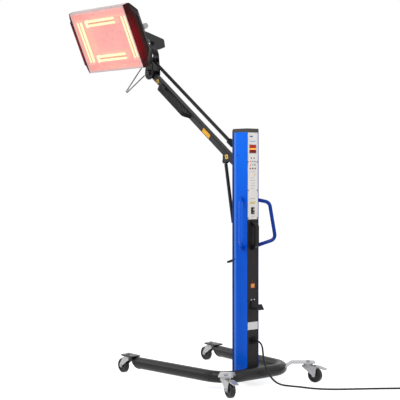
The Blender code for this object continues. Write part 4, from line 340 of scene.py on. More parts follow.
def linked(name, data):
    """A new object in the scene."""
    made = bpy.data.objects.new(name, data)
    bpy.context.scene.collection.objects.link(made)
    return made


def srgb(red, green, blue):
    """A colour of 0 to 255 as the renderer's linear values."""
    values = []
    for value in (red, green, blue):
        share = value / 255
        values.append(share / 12.92 if share <= 0.04045 else ((share + 0.055) / 1.055) ** 2.4)
    return (*values, 1)


# Materials

SOFT = 0.0012
CAP_SOFT = 0.0020
DRAWN_DOWN = (1, 1, 0.12)
COAT_ROUGHNESS = 0.08


class Recipe:
    """A node tree under construction. A source is a node's output."""

    def __init__(self, name):
        self.material = bpy.data.materials.new(name)
        self.material.use_nodes = True
        self.tree = self.material.node_tree
        self.shader = self.tree.nodes["Principled BSDF"]

    def node(self, kind, **settings):
        made = self.tree.nodes.new(kind)
        for key, value in settings.items():
            setattr(made, key, value)
        return made

    def fill(self, socket, value):
        """A socket takes a source or a plain value."""
        if isinstance(value, bpy.types.NodeSocket):
            self.tree.links.new(value, socket)
        else:
            socket.default_value = value

    def feed(self, name, source):
        """One of the shader's own sockets takes a source."""
        self.fill(self.shader.inputs[name], source)

    def set(self, **values):
        """Plain values of the shader, named as its sockets are."""
        for key, value in values.items():
            self.shader.inputs[key.replace("_", " ")].default_value = value

    def place(self):
        """A point's place at rest."""
        return self.node("ShaderNodeTexCoord").outputs["Object"]

    def noise(self, scale, detail=3.0, stretch=None):
        """A cloud of values from 0 to 1."""
        made = self.node("ShaderNodeTexNoise")
        made.inputs["Scale"].default_value = scale
        made.inputs["Detail"].default_value = detail
        source = self.place()
        if stretch:
            mapping = self.node("ShaderNodeMapping")
            mapping.inputs["Scale"].default_value = stretch
            self.fill(mapping.inputs["Vector"], source)
            source = mapping.outputs["Vector"]
        self.fill(made.inputs["Vector"], source)
        return made.outputs["Fac"]

    def dot(self, first, second):
        """The dot product of a source and a direction or another source."""
        made = self.node("ShaderNodeVectorMath", operation="DOT_PRODUCT")
        self.fill(made.inputs[0], first)
        self.fill(made.inputs[1], second)
        return made.outputs["Value"]

    def along(self, way):
        """The distance of a point along a direction."""
        return self.dot(self.place(), way)

    def spread(self, source, low=0.0, high=1.0, start=0.3, end=0.7):
        """A value from low to high, as the source goes from start to end."""
        made = self.node("ShaderNodeMapRange")
        made.inputs["From Min"].default_value = start
        made.inputs["From Max"].default_value = end
        made.inputs["To Min"].default_value = low
        made.inputs["To Max"].default_value = high
        self.fill(made.inputs["Value"], source)
        return made.outputs["Result"]

    def roughen(self, scale, low, high, detail=5.0, stretch=None):
        """Uneven gloss, between two values of roughness."""
        self.feed("Roughness", self.spread(self.noise(scale, detail, stretch), low, high))

    def blend(self, share, first, second):
        """A mix of two colours, each a value or a source."""
        made = self.node("ShaderNodeMix", data_type="RGBA")
        self.fill(made.inputs["Factor"], share)
        for slot, value in (("A", first), ("B", second)):
            self.fill([s for s in made.inputs if s.name == slot and s.type == "RGBA"][0], value)
        return [s for s in made.outputs if s.type == "RGBA"][0]

    def multiply(self, first, second):
        """The product of two sources, or of a source and a number."""
        made = self.node("ShaderNodeMath", operation="MULTIPLY", use_clamp=True)
        self.fill(made.inputs[0], first)
        self.fill(made.inputs[1], second)
        return made.outputs["Value"]

    def soft_normal(self, radius, samples=4):
        """A normal that rounds the edges over within a radius."""
        made = self.node("ShaderNodeBevel", samples=samples)
        made.inputs["Radius"].default_value = radius
        return made.outputs["Normal"]

    def edges(self, radius):
        """A mask of the edges, which is 1 on a sharp corner."""
        normal = self.node("ShaderNodeNewGeometry").outputs["Normal"]
        share = self.dot(self.soft_normal(radius, samples=6), normal)
        return self.spread(share, 1.0, 0.0, start=0.80, end=0.99)

    def bump(self, scale, strength, distance, soften=0.0):
        """A fine relief, over rounded edges where a radius is given."""
        made = self.node("ShaderNodeBump")
        made.inputs["Strength"].default_value = strength
        made.inputs["Distance"].default_value = distance
        self.fill(made.inputs["Height"], self.noise(scale))
        if soften:
            self.fill(made.inputs["Normal"], self.soft_normal(soften))
        self.feed("Normal", made.outputs["Normal"])


def surface(name, colour, roughness, metallic=0.0, grain=900.0, relief=0.00012, shade=0.12, wear_and_shade_colour=None,
            wear_and_shade=0.5, wear_and_shade_radius=0.0015, coat=0.0, gloss=0.25, stretch=None, soften=0.0, facing=None):
    """A material with uneven colour, uneven gloss, a fine relief and edges of another colour: wear, which on
    the zinc is also painted shade.

    With facing, a direction of the piece and a colour, the faces that point that way take that colour as
    painted shade.
    """
    recipe = Recipe(name)
    base = srgb(*colour)
    dark = tuple(value * (1 - shade) for value in base[:3]) + (1,)
    light = tuple(min(1.0, value * (1 + shade)) for value in base[:3]) + (1,)
    cloud = recipe.noise(scale=14.0, detail=4.0, stretch=stretch)
    tint = recipe.blend(recipe.spread(cloud), dark, light)
    if facing:
        way, other = facing
        share = recipe.dot(recipe.node("ShaderNodeTexCoord").outputs["Normal"], way)
        tint = recipe.blend(recipe.spread(share, start=0.4, end=0.8), tint, srgb(*other))
    if wear_and_shade_colour:
        patches = recipe.spread(recipe.noise(scale=160.0, detail=5.0), start=0.46, end=0.62)
        mask = recipe.multiply(recipe.multiply(recipe.edges(wear_and_shade_radius), patches), wear_and_shade)
        tint = recipe.blend(mask, tint, srgb(*wear_and_shade_colour))
    recipe.feed("Base Color", tint)
    recipe.roughen(55.0, roughness * 0.85, min(1.0, roughness * 1.2), 6.0, stretch)
    recipe.set(Metallic=metallic, Specular_IOR_Level=gloss, Coat_Weight=coat, Coat_Roughness=COAT_ROUGHNESS)
    recipe.bump(grain, strength=0.35, distance=relief, soften=soften)
    return recipe.material


def glow(name, colour, strength):
    """A material that gives off its own light, a little unevenly."""
    recipe = Recipe(name)
    light = srgb(*colour)
    dim = tuple(value * 0.9 for value in light[:3]) + (1,)
    tint = recipe.blend(recipe.spread(recipe.noise(scale=60.0)), dim, light)
    recipe.feed("Emission Color", tint)
    recipe.feed("Base Color", tint)
    recipe.set(Emission_Strength=strength, Roughness=0.3, Specular_IOR_Level=0.2)
    recipe.bump(700.0, strength=0.2, distance=0.0001)
    return recipe.material


# Head place and its axes in the stand's layout
LEVEL_WAY = Vector((cos(HEAD_PAN), sin(HEAD_PAN), 0))
FACE_NORMAL = LEVEL_WAY * cos(HEAD_TILT) - Vector((0, 0, sin(HEAD_TILT)))
FACE_ACROSS = Vector((-sin(HEAD_PAN), cos(HEAD_PAN), 0))
FACE_UP = FACE_NORMAL.cross(FACE_ACROSS)
FACE_CENTRE = Vector((0, ARM_END.y, HEAD_CENTRE_Z)) + LEVEL_WAY * HEAD_REACH


def axes(first, second, third, place):
    """A frame from three directions and a place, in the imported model's frame."""
    made = Matrix.Identity(4)
    for column, way in enumerate((first, second, third)):
        made.col[column][:3] = way
    made.translation = ORIGIN + place
    return made


HEAD = axes(FACE_ACROSS, FACE_UP, FACE_NORMAL, FACE_CENTRE)


def column_blue():
    """The column's gloss paint, with a painted highlight in a band beside its front edge, which has a strip
    of painted shade, and painted light that makes its top lighter.
    """
    recipe = Recipe("column_blue")
    front = COLUMN_LOW.y
    back = recipe.along(Y)
    cloud = recipe.spread(recipe.noise(scale=14.0, detail=4.0, stretch=DRAWN_DOWN))
    low = recipe.blend(cloud, srgb(8, 84, 206), srgb(10, 96, 226))
    # Painted light: the blue grows lighter towards the top
    high = recipe.spread(recipe.along(Z), 0.0, 1.0, *PAINTED_LIGHT_TOP)
    blue = recipe.blend(high, low, srgb(12, 112, 250))
    # Painted highlight: a pale band just behind the front edge
    rise = recipe.spread(back, 0.0, 1.0, front + HIGHLIGHT_RISE[0], front + HIGHLIGHT_RISE[1])
    fall = recipe.spread(back, 1.0, 0.0, front + HIGHLIGHT_FALL[0], front + HIGHLIGHT_FALL[1])
    tint = recipe.blend(recipe.multiply(rise, fall), blue, srgb(84, 132, 222))
    recipe.feed("Base Color", tint)
    recipe.roughen(55.0, 0.17, 0.24, 6.0)
    recipe.set(Specular_IOR_Level=0.06)
    recipe.bump(900.0, strength=0.35, distance=0.00012, soften=SOFT)
    return recipe.material


def cap_red():
    """The moulded end caps: black, with a deep red where the lamps' light reaches them."""
    recipe = Recipe("cap_red")
    centre = FACE_UP.dot(HEAD.translation)
    face = FACE_NORMAL.dot(HEAD.translation)
    levels = [centre + FACE_HEIGHT / 2 * share for share in CAP_GLOW_SHARES]
    depths = [face - depth for depth in CAP_GLOW_DEPTHS]
    up = recipe.along(FACE_UP)
    low = recipe.spread(up, 0.0, 1.0, *levels[:2])
    high = recipe.spread(up, 1.0, 0.0, *levels[2:])
    near = recipe.spread(recipe.along(FACE_NORMAL), 0.0, 1.0, *depths)
    streak = recipe.spread(recipe.noise(scale=24.0, detail=4.0), 0.6, 1.0)
    deep = recipe.blend(near, srgb(42, 31, 31), srgb(62, 8, 11))
    lit = recipe.multiply(recipe.multiply(recipe.multiply(low, high), near), streak)
    recipe.feed("Base Color", recipe.blend(lit, deep, srgb(132, 0, 9)))
    recipe.roughen(50.0, 0.18, 0.30)
    recipe.set(Specular_IOR_Level=0.07)
    recipe.bump(500.0, strength=0.25, distance=0.0001, soften=CAP_SOFT)
    return recipe.material


def reflector_pink():
    """The polished sheet behind the lamps, lit pink by them."""
    recipe = Recipe("reflector_pink")
    cloud = recipe.spread(recipe.noise(scale=9.0))
    tint = recipe.blend(cloud, srgb(212, 162, 157), srgb(224, 174, 168))
    recipe.feed("Base Color", tint)
    recipe.feed("Emission Color", tint)
    recipe.set(Metallic=0.35, Emission_Strength=0.50)
    recipe.roughen(40.0, 0.25, 0.38)
    recipe.bump(130.0, strength=0.15, distance=0.0002)
    return recipe.material


def clear_glass():
    """Clear glass that glows pink with the lamps' light."""
    recipe = Recipe("clear_glass")
    cloud = recipe.spread(recipe.noise(scale=6.0))
    tint = recipe.blend(cloud, srgb(196, 176, 174), srgb(204, 184, 182))
    recipe.feed("Base Color", tint)
    recipe.roughen(80.0, 0.01, 0.05)
    recipe.set(Transmission_Weight=1.0, IOR=1.02, Specular_IOR_Level=0.3)
    recipe.set(Emission_Color=srgb(212, 172, 170), Emission_Strength=0.30)
    recipe.bump(30.0, strength=0.05, distance=0.0001)
    return recipe.material


# Finishes: first those of the record's material slots
FINISHES = {
    "blue_paint": surface("blue_gloss", (12, 94, 224), 0.20, shade=0.07, wear_and_shade_colour=(60, 100, 180), wear_and_shade=0.4,
                          gloss=0.10, stretch=DRAWN_DOWN, soften=SOFT),
    "dark_paint": surface("charcoal_satin", (31, 31, 33), 0.30, wear_and_shade_colour=(96, 96, 98), wear_and_shade=0.35, gloss=0.24,
                          soften=SOFT),
    "black_paint": surface("black_satin", (34, 31, 30), 0.45, wear_and_shade_colour=(96, 94, 92), wear_and_shade=0.35, gloss=0.18,
                           soften=SOFT),
    "white_paint": surface("panel_white", (236, 232, 228), 0.42, shade=0.03, wear_and_shade_colour=(170, 166, 160), wear_and_shade=0.4),
    # The zinc's dark worn edges are partly wear and partly painted shade
    "zinc": surface("bright_zinc", (182, 182, 185), 0.26, 0.45, shade=0.10, wear_and_shade_colour=(78, 78, 80), wear_and_shade=0.8,
                    wear_and_shade_radius=0.0026, gloss=0.5, soften=SOFT),
    "tyre": surface("tyre_black", (14, 14, 14), 0.42, shade=0.25, wear_and_shade_colour=(60, 58, 56), wear_and_shade=0.4, gloss=0.35,
                    soften=SOFT),
    "rubber": surface("cord_rubber", (22, 22, 22), 0.45, shade=0.2, grain=1400.0, gloss=0.30),
    "black_plastic": surface("black_moulding", (18, 17, 17), 0.40, shade=0.2, wear_and_shade_colour=(80, 80, 80), wear_and_shade=0.3,
                             gloss=0.20, soften=SOFT),
    "grey_plastic": surface("grey_moulding", (70, 67, 64), 0.50, wear_and_shade_colour=(130, 126, 120), wear_and_shade=0.4,
                            soften=SOFT),
    "red_lens": surface("display_red", (128, 10, 6), 0.15, shade=0.15, gloss=0.4),
    "board": surface("board_green", (24, 92, 52), 0.50, shade=0.2),
    "bright": surface("frame_bright", (222, 188, 186), 0.30, 0.3, shade=0.06, wear_and_shade_colour=(170, 150, 146), wear_and_shade=0.4),
    "reflector": reflector_pink(),
    "glass": clear_glass(),
    "lamp": glow("lamp_glow", (255, 248, 190), 1.35),
    "cap_plastic": cap_red(),
}

# Then those that only pieces of the looks have
FINISHES |= {
    # Painted shade: the web between a lamp's tubes glows dimmer, for the shade in the groove between them
    "web": glow("lamp_web", (188, 156, 108), 0.55),
    # Painted light: the ceramic end blocks of the lamps glow though they are no lamps, the lit ones brighter
    "ceramic": glow("lamp_block", (248, 190, 172), 0.55),
    "ceramic_lit": glow("lamp_block_lit", (255, 246, 210), 1.1),
    "gland": surface("gland_grey", (172, 172, 174), 0.40, 0.2, shade=0.1, soften=SOFT),
    "sleeve": surface("gauge_sleeve", (122, 122, 124), 0.45, gloss=0.2),
    "yellow": surface("patch_yellow", (246, 178, 36), 0.35, shade=0.08),
    "straw": surface("patch_straw", (232, 196, 84), 0.35, shade=0.08),
    "orange": surface("patch_orange", (236, 150, 76), 0.35, shade=0.08),
    "mark": surface("patch_dark_red", (96, 26, 16), 0.40, shade=0.1),
    "label": surface("patch_white", (222, 222, 220), 0.45, shade=0.04),
    # Painted shade on the column's front edge
    "strip": surface("painted_shade_strip", (30, 42, 84), 0.40, shade=0.15, gloss=0.1),
    # Painted shade on the rear edges of the column's flanges
    "navy_shade": surface("painted_shade_navy", (24, 22, 104), 0.40, shade=0.15, gloss=0.1),
    "seam": surface("seam_black", (16, 16, 16), 0.6, shade=0.2, gloss=0.1),
    "band": glow("display_band", (255, 160, 72), 0.9),
    "lit": glow("display_lit", (150, 34, 20), 0.55),
    "dim": glow("display_dim", (100, 4, 2), 0.6),
    "red_dot": glow("dot_red", (214, 84, 70), 0.5),
    "green_dot": glow("dot_green", (110, 150, 90), 0.4),
    "dark_dot": surface("dot_dark", (26, 26, 40), 0.40),
    "screw": surface("screw_dark", (38, 38, 44), 0.35, 0.6, wear_and_shade_colour=(120, 120, 120)),
    "steel": surface("screw_bright", (186, 186, 188), 0.30, 0.7, wear_and_shade_colour=(120, 120, 120), gloss=0.5),
    "switch_light": surface("switch_light", (206, 212, 150), 0.35, shade=0.1),
    "switch_brown": surface("switch_brown", (190, 130, 104), 0.35, shade=0.1),
    "strap": surface("strap_weave", (28, 28, 30), 0.85, shade=0.2, grain=2200.0, relief=0.0004, gloss=0.1),
}
PRINT_COLOURS = {
    "print": (172, 168, 174),
    "print_blue": (84, 112, 176),
    "print_pale": (150, 180, 214),
    "print_yellow": (222, 206, 140),
}
for print_name, print_colour in PRINT_COLOURS.items():
    FINISHES[print_name] = surface(f"panel_{print_name}", print_colour, 0.5, shade=0.1)


def own_finishes():
    """The CAD nodes that look unlike the rest of their material slot."""
    # Painted shade: the faces of the arm and the link rod that point up are darker
    shaded_top_faces = (ARM_RISE, (14, 14, 15))
    arm = surface("arm_charcoal", (46, 45, 49), 0.34, wear_and_shade_colour=(96, 96, 98), wear_and_shade=0.35, gloss=0.18, soften=SOFT,
                  facing=shaded_top_faces)
    rod = surface("rod_charcoal", (30, 30, 32), 0.36, wear_and_shade_colour=(96, 96, 96), wear_and_shade=0.35, gloss=0.2, soften=SOFT,
                  facing=shaded_top_faces)
    bracket = surface("bracket_grey", (50, 50, 52), 0.38, wear_and_shade_colour=(110, 110, 110), wear_and_shade=0.35, soften=SOFT)
    knuckle = surface("knuckle_black", (19, 19, 20), 0.36, wear_and_shade_colour=(90, 90, 90), wear_and_shade=0.3, gloss=0.15,
                      soften=SOFT)
    grip = surface("grip_black", (19, 19, 20), 0.42, shade=0.2, wear_and_shade_colour=(84, 84, 84), wear_and_shade=0.4, gloss=0.12,
                   soften=SOFT)
    # Painted shade: the left side handle is a darker blue than the rest of the blue paint
    shaded_handle = surface("handle_blue_painted_shade", (10, 56, 150), 0.26, shade=0.10, wear_and_shade_colour=(80, 110, 170), wear_and_shade=0.4,
                     gloss=0.12, soften=SOFT)
    cylinder = surface("spring_black", (18, 18, 20), 0.28, shade=0.2, coat=0.15, gloss=0.2, soften=SOFT)
    wire = surface("gauge_wire", (126, 126, 128), 0.40, 0.2, wear_and_shade_colour=(90, 90, 90), gloss=0.3)
    sheet = surface("shell_sheet", (206, 190, 188), 0.34, 0.25, shade=0.06, wear_and_shade_colour=(150, 140, 138), wear_and_shade=0.4,
                    soften=SOFT)
    key = surface("key_red", (158, 62, 58), 0.40, shade=0.1)
    return {
        "column_profile": column_blue(),
        "side_handle_left": shaded_handle,
        "key_1": key,
        "key_3": key,
        "arm_tube": arm,
        "arm_grip": grip,
        "arm_pivot_pin": FINISHES["blue_paint"],
        "link_rod": rod,
        "link_pivot_pin": FINISHES["blue_paint"],
        "spring_cylinder": cylinder,
        "head_link": knuckle,
        "head_pivot_pin": bracket,
        "link_head_pin": bracket,
        "distance_gauge": wire,
        "swivel_bracket": bracket,
        "back_shell": sheet,
        "head_gland": FINISHES["gland"],
    }


def dress_nodes():
    """Each CAD node takes the material of its slot in the record, or one of its own."""
    slots = {entry["node"]: entry["material_slot"] for entry in frame["record"]["subparts"]}
    own = own_finishes()
    for name, made in NODES.items():
        material = own.get(name) or FINISHES[slots[name]]
        made.data.materials.clear()
        made.data.materials.append(material)


# Pieces of the looks

class Shape:
    """A mesh under construction, made of closed bodies."""

    def __init__(self):
        self.points, self.faces = [], []

    def add(self, points, faces):
        """More points and faces, which number their points from 0."""
        start = len(self.points)
        self.points += [tuple(point) for point in points]
        self.faces += [tuple(start + index for index in face) for face in faces]
        return self

    def slab(self, place, outline, low, high):
        """An outline on a frame's first two axes, pushed along its third."""
        count = len(outline)
        points = [place @ Vector((u, v, height)) for height in (low, high) for u, v in outline]
        faces = [tuple(reversed(range(count))), tuple(range(count, 2 * count))]
        faces += [(i, (i + 1) % count, count + (i + 1) % count, count + i) for i in range(count)]
        return self.add(points, faces)

    def spin(self, place, profile, sides=16):
        """A profile of radius and height, turned about a frame's third axis and closed at both ends."""
        turns = [2 * pi * side / sides for side in range(sides)]
        points = [place @ Vector((radius * cos(turn), radius * sin(turn), height))
                  for radius, height in profile for turn in turns]
        last = len(profile) - 1
        faces = [tuple(reversed(range(sides))), tuple(range(last * sides, (last + 1) * sides))]
        for ring in range(last):
            for side in range(sides):
                after = (side + 1) % sides
                faces.append((ring * sides + side, ring * sides + after, (ring + 1) * sides + after,
                              (ring + 1) * sides + side))
        return self.add(points, faces)

    def ring(self, place, outer, inner, low, high):
        """Two outlines with the same number of points, closed into a ring."""
        count = len(outer)
        points = [place @ Vector((u, v, height)) for outline, height in
                  ((outer, low), (outer, high), (inner, high), (inner, low)) for u, v in outline]
        faces = []
        for level in range(4):
            first, second = level * count, (level + 1) % 4 * count
            faces += [(first + i, first + (i + 1) % count, second + (i + 1) % count, second + i)
                      for i in range(count)]
        return self.add(points, faces)

    def piece(self, name, finish, body, bevel=0.0, round_over=None):
        """The finished piece on its body, with a bevelled rim and smooth shading where they are given."""
        mesh = bpy.data.meshes.new(name)
        mesh.from_pydata(self.points, [], self.faces)
        mesh.materials.append(FINISHES[finish])
        if round_over:
            mesh.shade_smooth()
            mesh.set_sharp_from_angle(angle=radians(round_over))
        made = linked(name, mesh)
        if bevel:
            rim = made.modifiers.new("rim", "BEVEL")
            rim.width = bevel
            rim.segments = 2
            rim.limit_method = "ANGLE"
        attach(made, body)
        return made


def rectangle(width, height, u=0.0, v=0.0, corner=0.0):
    """The outline of a rectangle about a place, rounded where a corner radius is given."""
    half_w, half_h = width / 2, height / 2
    if not corner:
        return [(u - half_w, v - half_h), (u + half_w, v - half_h),
                (u + half_w, v + half_h), (u - half_w, v + half_h)]
    points = []
    for sign_u, sign_v, start in ((1, 1, 0), (-1, 1, 1), (-1, -1, 2), (1, -1, 3)):
        for step in range(CORNER_STEPS + 1):
            angle = (start + step / CORNER_STEPS) * pi / 2
            points.append((u + sign_u * (half_w - corner) + corner * cos(angle),
                           v + sign_v * (half_h - corner) + corner * sin(angle)))
    return points


def four(u, v):
    """Four places round a middle, from the one at the lower left."""
    return (-u, -v), (-u, v), (u, -v), (u, v)


def plate(name, outline, thickness, place, finish, bevel=RIM, body="stand"):
    """A thin plate on the plane of a frame, standing out along its third axis."""
    return Shape().slab(place, outline, -UNDER, thickness).piece(name, finish, body, bevel)


def heads(name, places, body="stand", bar=True):
    """Domed heads in one piece, each with a raised bar across it unless bar is off."""
    radius, height, finish = HEADS[name]
    profile = ((radius, -UNDER), (radius, height * 0.45), (radius * 0.86, height * 0.8),
               (radius * 0.45, height))
    shape = Shape()
    for place in places:
        shape.spin(place, profile, HEAD_SIDES)
        if bar:
            shape.slab(place, rectangle(radius * 1.1, radius * 0.24), height * 0.9, height * 1.1)
    return shape.piece(name, finish, body, round_over=40)


# The looks of each part

def rear_place(z, x=0.0, proud=0.0):
    """A frame on the column's rear face: its first axis to the viewer's right, its second up."""
    return axes(-X, Z, Y, Vector((x, PANEL_FACE + proud, z)))


def side_screws(heights):
    """Places of screws along both sides of the column's rear face."""
    return [rear_place(z, side * (HALF_WIDTH - SIDE_SCREW_INSET)) for z in heights for side in (-1, 1)]


def dress_display():
    """The bands of the display and the rim round it."""
    low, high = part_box("display_window")
    height, width = high.z - low.z, high.x - low.x - DISPLAY_SIDE_GAP
    for name, start, end, key in DISPLAY_BANDS:
        middle = high.z - height * (start + end) / 2
        band = rectangle(width, height * (end - start) - DISPLAY_BAND_GAP, corner=PLATE_CORNER)
        plate(name, band, PROUD, rear_place(middle, proud=DISPLAY_LIFT), key)
    outer = rectangle(width + DISPLAY_RIM[0], height + DISPLAY_RIM[1], corner=RIM_CORNER)
    inner = rectangle(width + DISPLAY_SIDE_GAP, height, corner=OPENING_CORNER)
    rim = Shape().ring(rear_place((high.z + low.z) / 2), outer, inner, -UNDER, DISPLAY_RIM_HEIGHT)
    rim.piece("display_rim", "print", "stand", THIN_RIM)


def dress_panel():
    """Indicator lights, print without words and screws on the control panel."""
    for number, (z, lights) in enumerate(LIGHT_ROWS, 1):
        for index, (u, key) in enumerate(lights, 1):
            dome = Shape().spin(rear_place(z) @ Matrix.Translation((u, 0, 0)), LIGHT_PROFILE, LIGHT_SIDES)
            dome.piece(f"light_{number}_{index}", key, "stand", round_over=50)
    for number, (z, wide, tall, u, key) in enumerate(PRINT_BARS, 1):
        bar = rectangle(wide, tall, u)
        plate(f"print_{number}", bar, PROUD / 3, rear_place(z), key, PRINT_RIM)
    heads("panel_screws", side_screws(PANEL_SCREWS_Z))


def dress_switch():
    """The frame round the rocker and its two coloured fields."""
    low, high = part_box("main_switch")
    middle, tall = (low.z + high.z) / 2, high.z - low.z
    half = (high.x - low.x) / 2
    outer = rectangle(2 * half + BEZEL[0], tall + BEZEL[1], corner=RIM_CORNER)
    inner = rectangle(2 * half + BEZEL_GAP[0], tall + BEZEL_GAP[1], corner=OPENING_CORNER)
    bezel = Shape().ring(rear_place(middle), outer, inner, -UNDER, BEZEL_HEIGHT)
    bezel.piece("switch_bezel", "screw", "stand", RIM)

    # The rocker's upper half stands out towards its top, and its lower half is pressed in
    face = high.y - ORIGIN.y - SWITCH_ROCK
    slope = atan2(SWITCH_ROCK, high.z - middle)
    upper = axes(-X, Vector((0, sin(slope), cos(slope))), Vector((0, cos(slope), -sin(slope))),
                 Vector((0, face, middle)))
    lower = axes(-X, Z, Y, Vector((0, face - SWITCH_ROCK / 2, low.z)))
    fields = (("switch_field_upper", UPPER_FIELD_SHARES, upper, "switch_light"),
              ("switch_field_lower", LOWER_FIELD_SHARES, lower, "switch_brown"))
    for name, (share, rise), place, key in fields:
        field = rectangle(half - FIELD_INSET, tall * share, half / 2, tall * rise, FIELD_CORNER)
        plate(name, field, PROUD / 2, place, key, FINE_RIM, "main_switch")


def dress_cover():
    """The coloured patches, the bare plate, the lead's inlet and the screws on the rear cover."""
    for name, z, sizes, finish, rim in COVER_PLATES:
        plate(name, rectangle(*sizes), PROUD, rear_place(z), finish, rim)
    dress_inlet()
    hooks = [rear_place(HOOK_SCREWS_Z, x) for x in (-HOOK_SCREW_SIDE, HOOK_SCREW_SIDE)]
    heads("hook_screws", hooks)
    heads("cover_screws", side_screws(COVER_SCREWS_Z))


def dress_inlet():
    """The plate round the lead's gland and its four screws."""
    turns = [2 * pi * side / INLET_SIDES for side in range(INLET_SIDES)]
    bore = [(INLET_BORE * cos(turn), INLET_BORE * sin(turn)) for turn in turns]
    edge = []
    for u, v in bore:
        stretch = min(INLET_HALF[0] / max(abs(u), TINY), INLET_HALF[1] / max(abs(v), TINY))
        edge.append((u * stretch, v * stretch))
    ring = Shape().ring(rear_place(INLET_Z), edge, bore, -UNDER, INLET_HEIGHT)
    ring.piece("gland_plate", "seam", "stand", RIM)
    heads("gland_plate_screws", [rear_place(INLET_Z + v, u) for u, v in four(*INLET_SCREW_PLACE)])


def dress_column():
    """Strips of painted shade at the column's front and rear edges."""
    middle, tall = (COLUMN_LOW.z + COLUMN_HIGH.z) / 2, COLUMN_HIGH.z - COLUMN_LOW.z
    strip, edge = rectangle(SHADE_STRIP_WIDTH, tall), rectangle(FLANGE - FLANGE_GAP, tall)
    for side, word in ((1, "right"), (-1, "left")):
        front = axes(side * Y, Z, side * X, Vector((side * HALF_WIDTH, -HALF_DEPTH + SHADE_STRIP_PLACE, middle)))
        # Painted shade along the rounded front edge
        plate(f"painted_shade_strip_{word}", strip, PROUD / 2, front, "strip", FINE_RIM)
        rear = axes(-X, Z, Y, Vector((side * (HALF_WIDTH - FLANGE / 2), HALF_DEPTH, middle)))
        # Painted shade along the rear edges of the flanges
        plate(f"rear_painted_shade_{word}", edge, PROUD / 3, rear, "navy_shade", PRINT_RIM)


def arm_place(run, rise):
    """A frame on the arm's right side, at a distance along the arm and above its middle."""
    place = ARM_PIVOT + ARM_WAY * run + ARM_RISE * rise + Vector((ARM_SIDE / 2, 0, 0))
    return axes(-ARM_WAY, ARM_RISE, X, place)


def dress_arm():
    """Plain coloured patches on the arm's side, and the link rod's adjusting sleeve."""
    for number, (run, rise) in enumerate(DIAMOND_PLACES, 1):
        place = arm_place(run, rise)
        plate(f"arm_diamond_{number}", DIAMOND, PROUD, place, "straw", body="arm")
        plate(f"arm_diamond_mark_{number}", DIAMOND_MARK, MARK_PROUD, place, "seam", FINE_RIM, "arm")
    plate("arm_patch", rectangle(*ARM_PATCH), PROUD, arm_place(*ARM_PATCH_PLACE), "yellow", body="arm")
    rod = axes(X, ARM_RISE, ARM_WAY, ARM_PIVOT + Vector((0, 0, LINK_OFFSET)))
    sleeve = Shape().slab(rod, rectangle(*ROD_SLEEVE), *ROD_SLEEVE_SPAN)
    sleeve.piece("rod_sleeve", "seam", "link_rod", ROD_SLEEVE_RIM)


def dress_gauge():
    """Grey sleeves on both legs of the distance gauge's wire."""
    tip = ARM_END + Vector((GAUGE_X + GAUGE_REACH, 0, GAUGE_TIP))
    for rise, word in ((GAUGE_LOW, "lower"), (GAUGE_HIGH, "upper")):
        root = ARM_END + Vector((GAUGE_X, 0, rise))
        way = (tip - root).normalized()
        place = axes(Y, way.cross(Y), way, root)
        run = (tip - root).length
        start, thin = run * SLEEVE_START_SHARE, SLEEVE_RADIUS * SLEEVE_TIP_SHARE
        profile = ((thin, start), (SLEEVE_RADIUS, start + SLEEVE_RAMP),
                   (SLEEVE_RADIUS, run - SLEEVE_FULL_END), (thin, run - SLEEVE_END))
        sleeve = Shape().spin(place, profile, SLEEVE_SIDES)
        sleeve.piece(f"gauge_sleeve_{word}", "sleeve", "distance_gauge", round_over=50)


def head_at(across, up, out):
    """A frame in the head's own axes, away from the middle of its face."""
    return HEAD @ Matrix.Translation((across, up, out))


def lamp_legs(word, place):
    """The two quartz tubes of one lamp, which end inside its blocks."""
    reach = LAMP_LENGTH / 2 - BLOCK_LENGTH / 3
    tip = LEG_RADIUS * LEG_TIP_SHARE
    profile = ((tip, -reach), (LEG_RADIUS, LEG_RAMP - reach), (LEG_RADIUS, reach - LEG_RAMP), (tip, reach))
    run = place @ Matrix.Rotation(pi / 2, 4, "Y")
    legs = Shape()
    for side in (-1, 1):
        legs.spin(run @ Matrix.Translation((0, side * LEG_SPREAD, 0)), profile, LEG_SIDES)
    made = legs.piece(f"lamp_legs_{word}", "lamp", "head", round_over=50)
    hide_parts(f"lamp_tube_{word}")


def lamp_block(name, place, end, finish):
    """The ceramic block at one end of a lamp, with its foot on the reflector."""
    along = end * (LAMP_LENGTH / 2 - BLOCK_LENGTH / 2)
    foot = rectangle(BLOCK_LENGTH * FOOT_SHARES[0], BLOCK_WIDTH * FOOT_SHARES[1], along)
    block = Shape()
    block.slab(place, rectangle(BLOCK_LENGTH, BLOCK_WIDTH, along, 0, BLOCK_CORNER), *BLOCK_SPAN)
    block.slab(place, foot, LAMP_DEPTH - REFLECTOR_DEPTH + FOOT_LIFT, FOOT_TOP)
    block.piece(name, finish, "head", BLOCK_RIM)


def dress_lamps():
    """Four twin-tube lamps, whose ceramic end blocks glow with painted light. The top and bottom ones have a
    brighter painted glow at their left end.
    """
    web = rectangle(LAMP_LENGTH - WEB_MARGIN, 2 * (LEG_SPREAD - LEG_RADIUS) + WEB_OVERLAP)
    for word, across, up, turn in LAMPS:
        place = head_at(across, up, -LAMP_DEPTH) @ Matrix.Rotation(turn, 4, "Z")
        lamp_legs(word, place)
        # The web's dimmer glow is painted shade in the groove between the tubes
        strip = Shape().slab(place, web, -WEB_THICKNESS / 2, WEB_THICKNESS / 2)
        strip.piece(f"lamp_web_{word}", "web", "head", WEB_RIM)
        for end, name in ((-1, "start"), (1, "end")):
            # Painted light: the left block of the top and bottom lamps glows brighter
            key = "ceramic_lit" if turn == 0 and end == -1 else "ceramic"
            lamp_block(f"lamp_block_{word}_{name}", place, end, key)


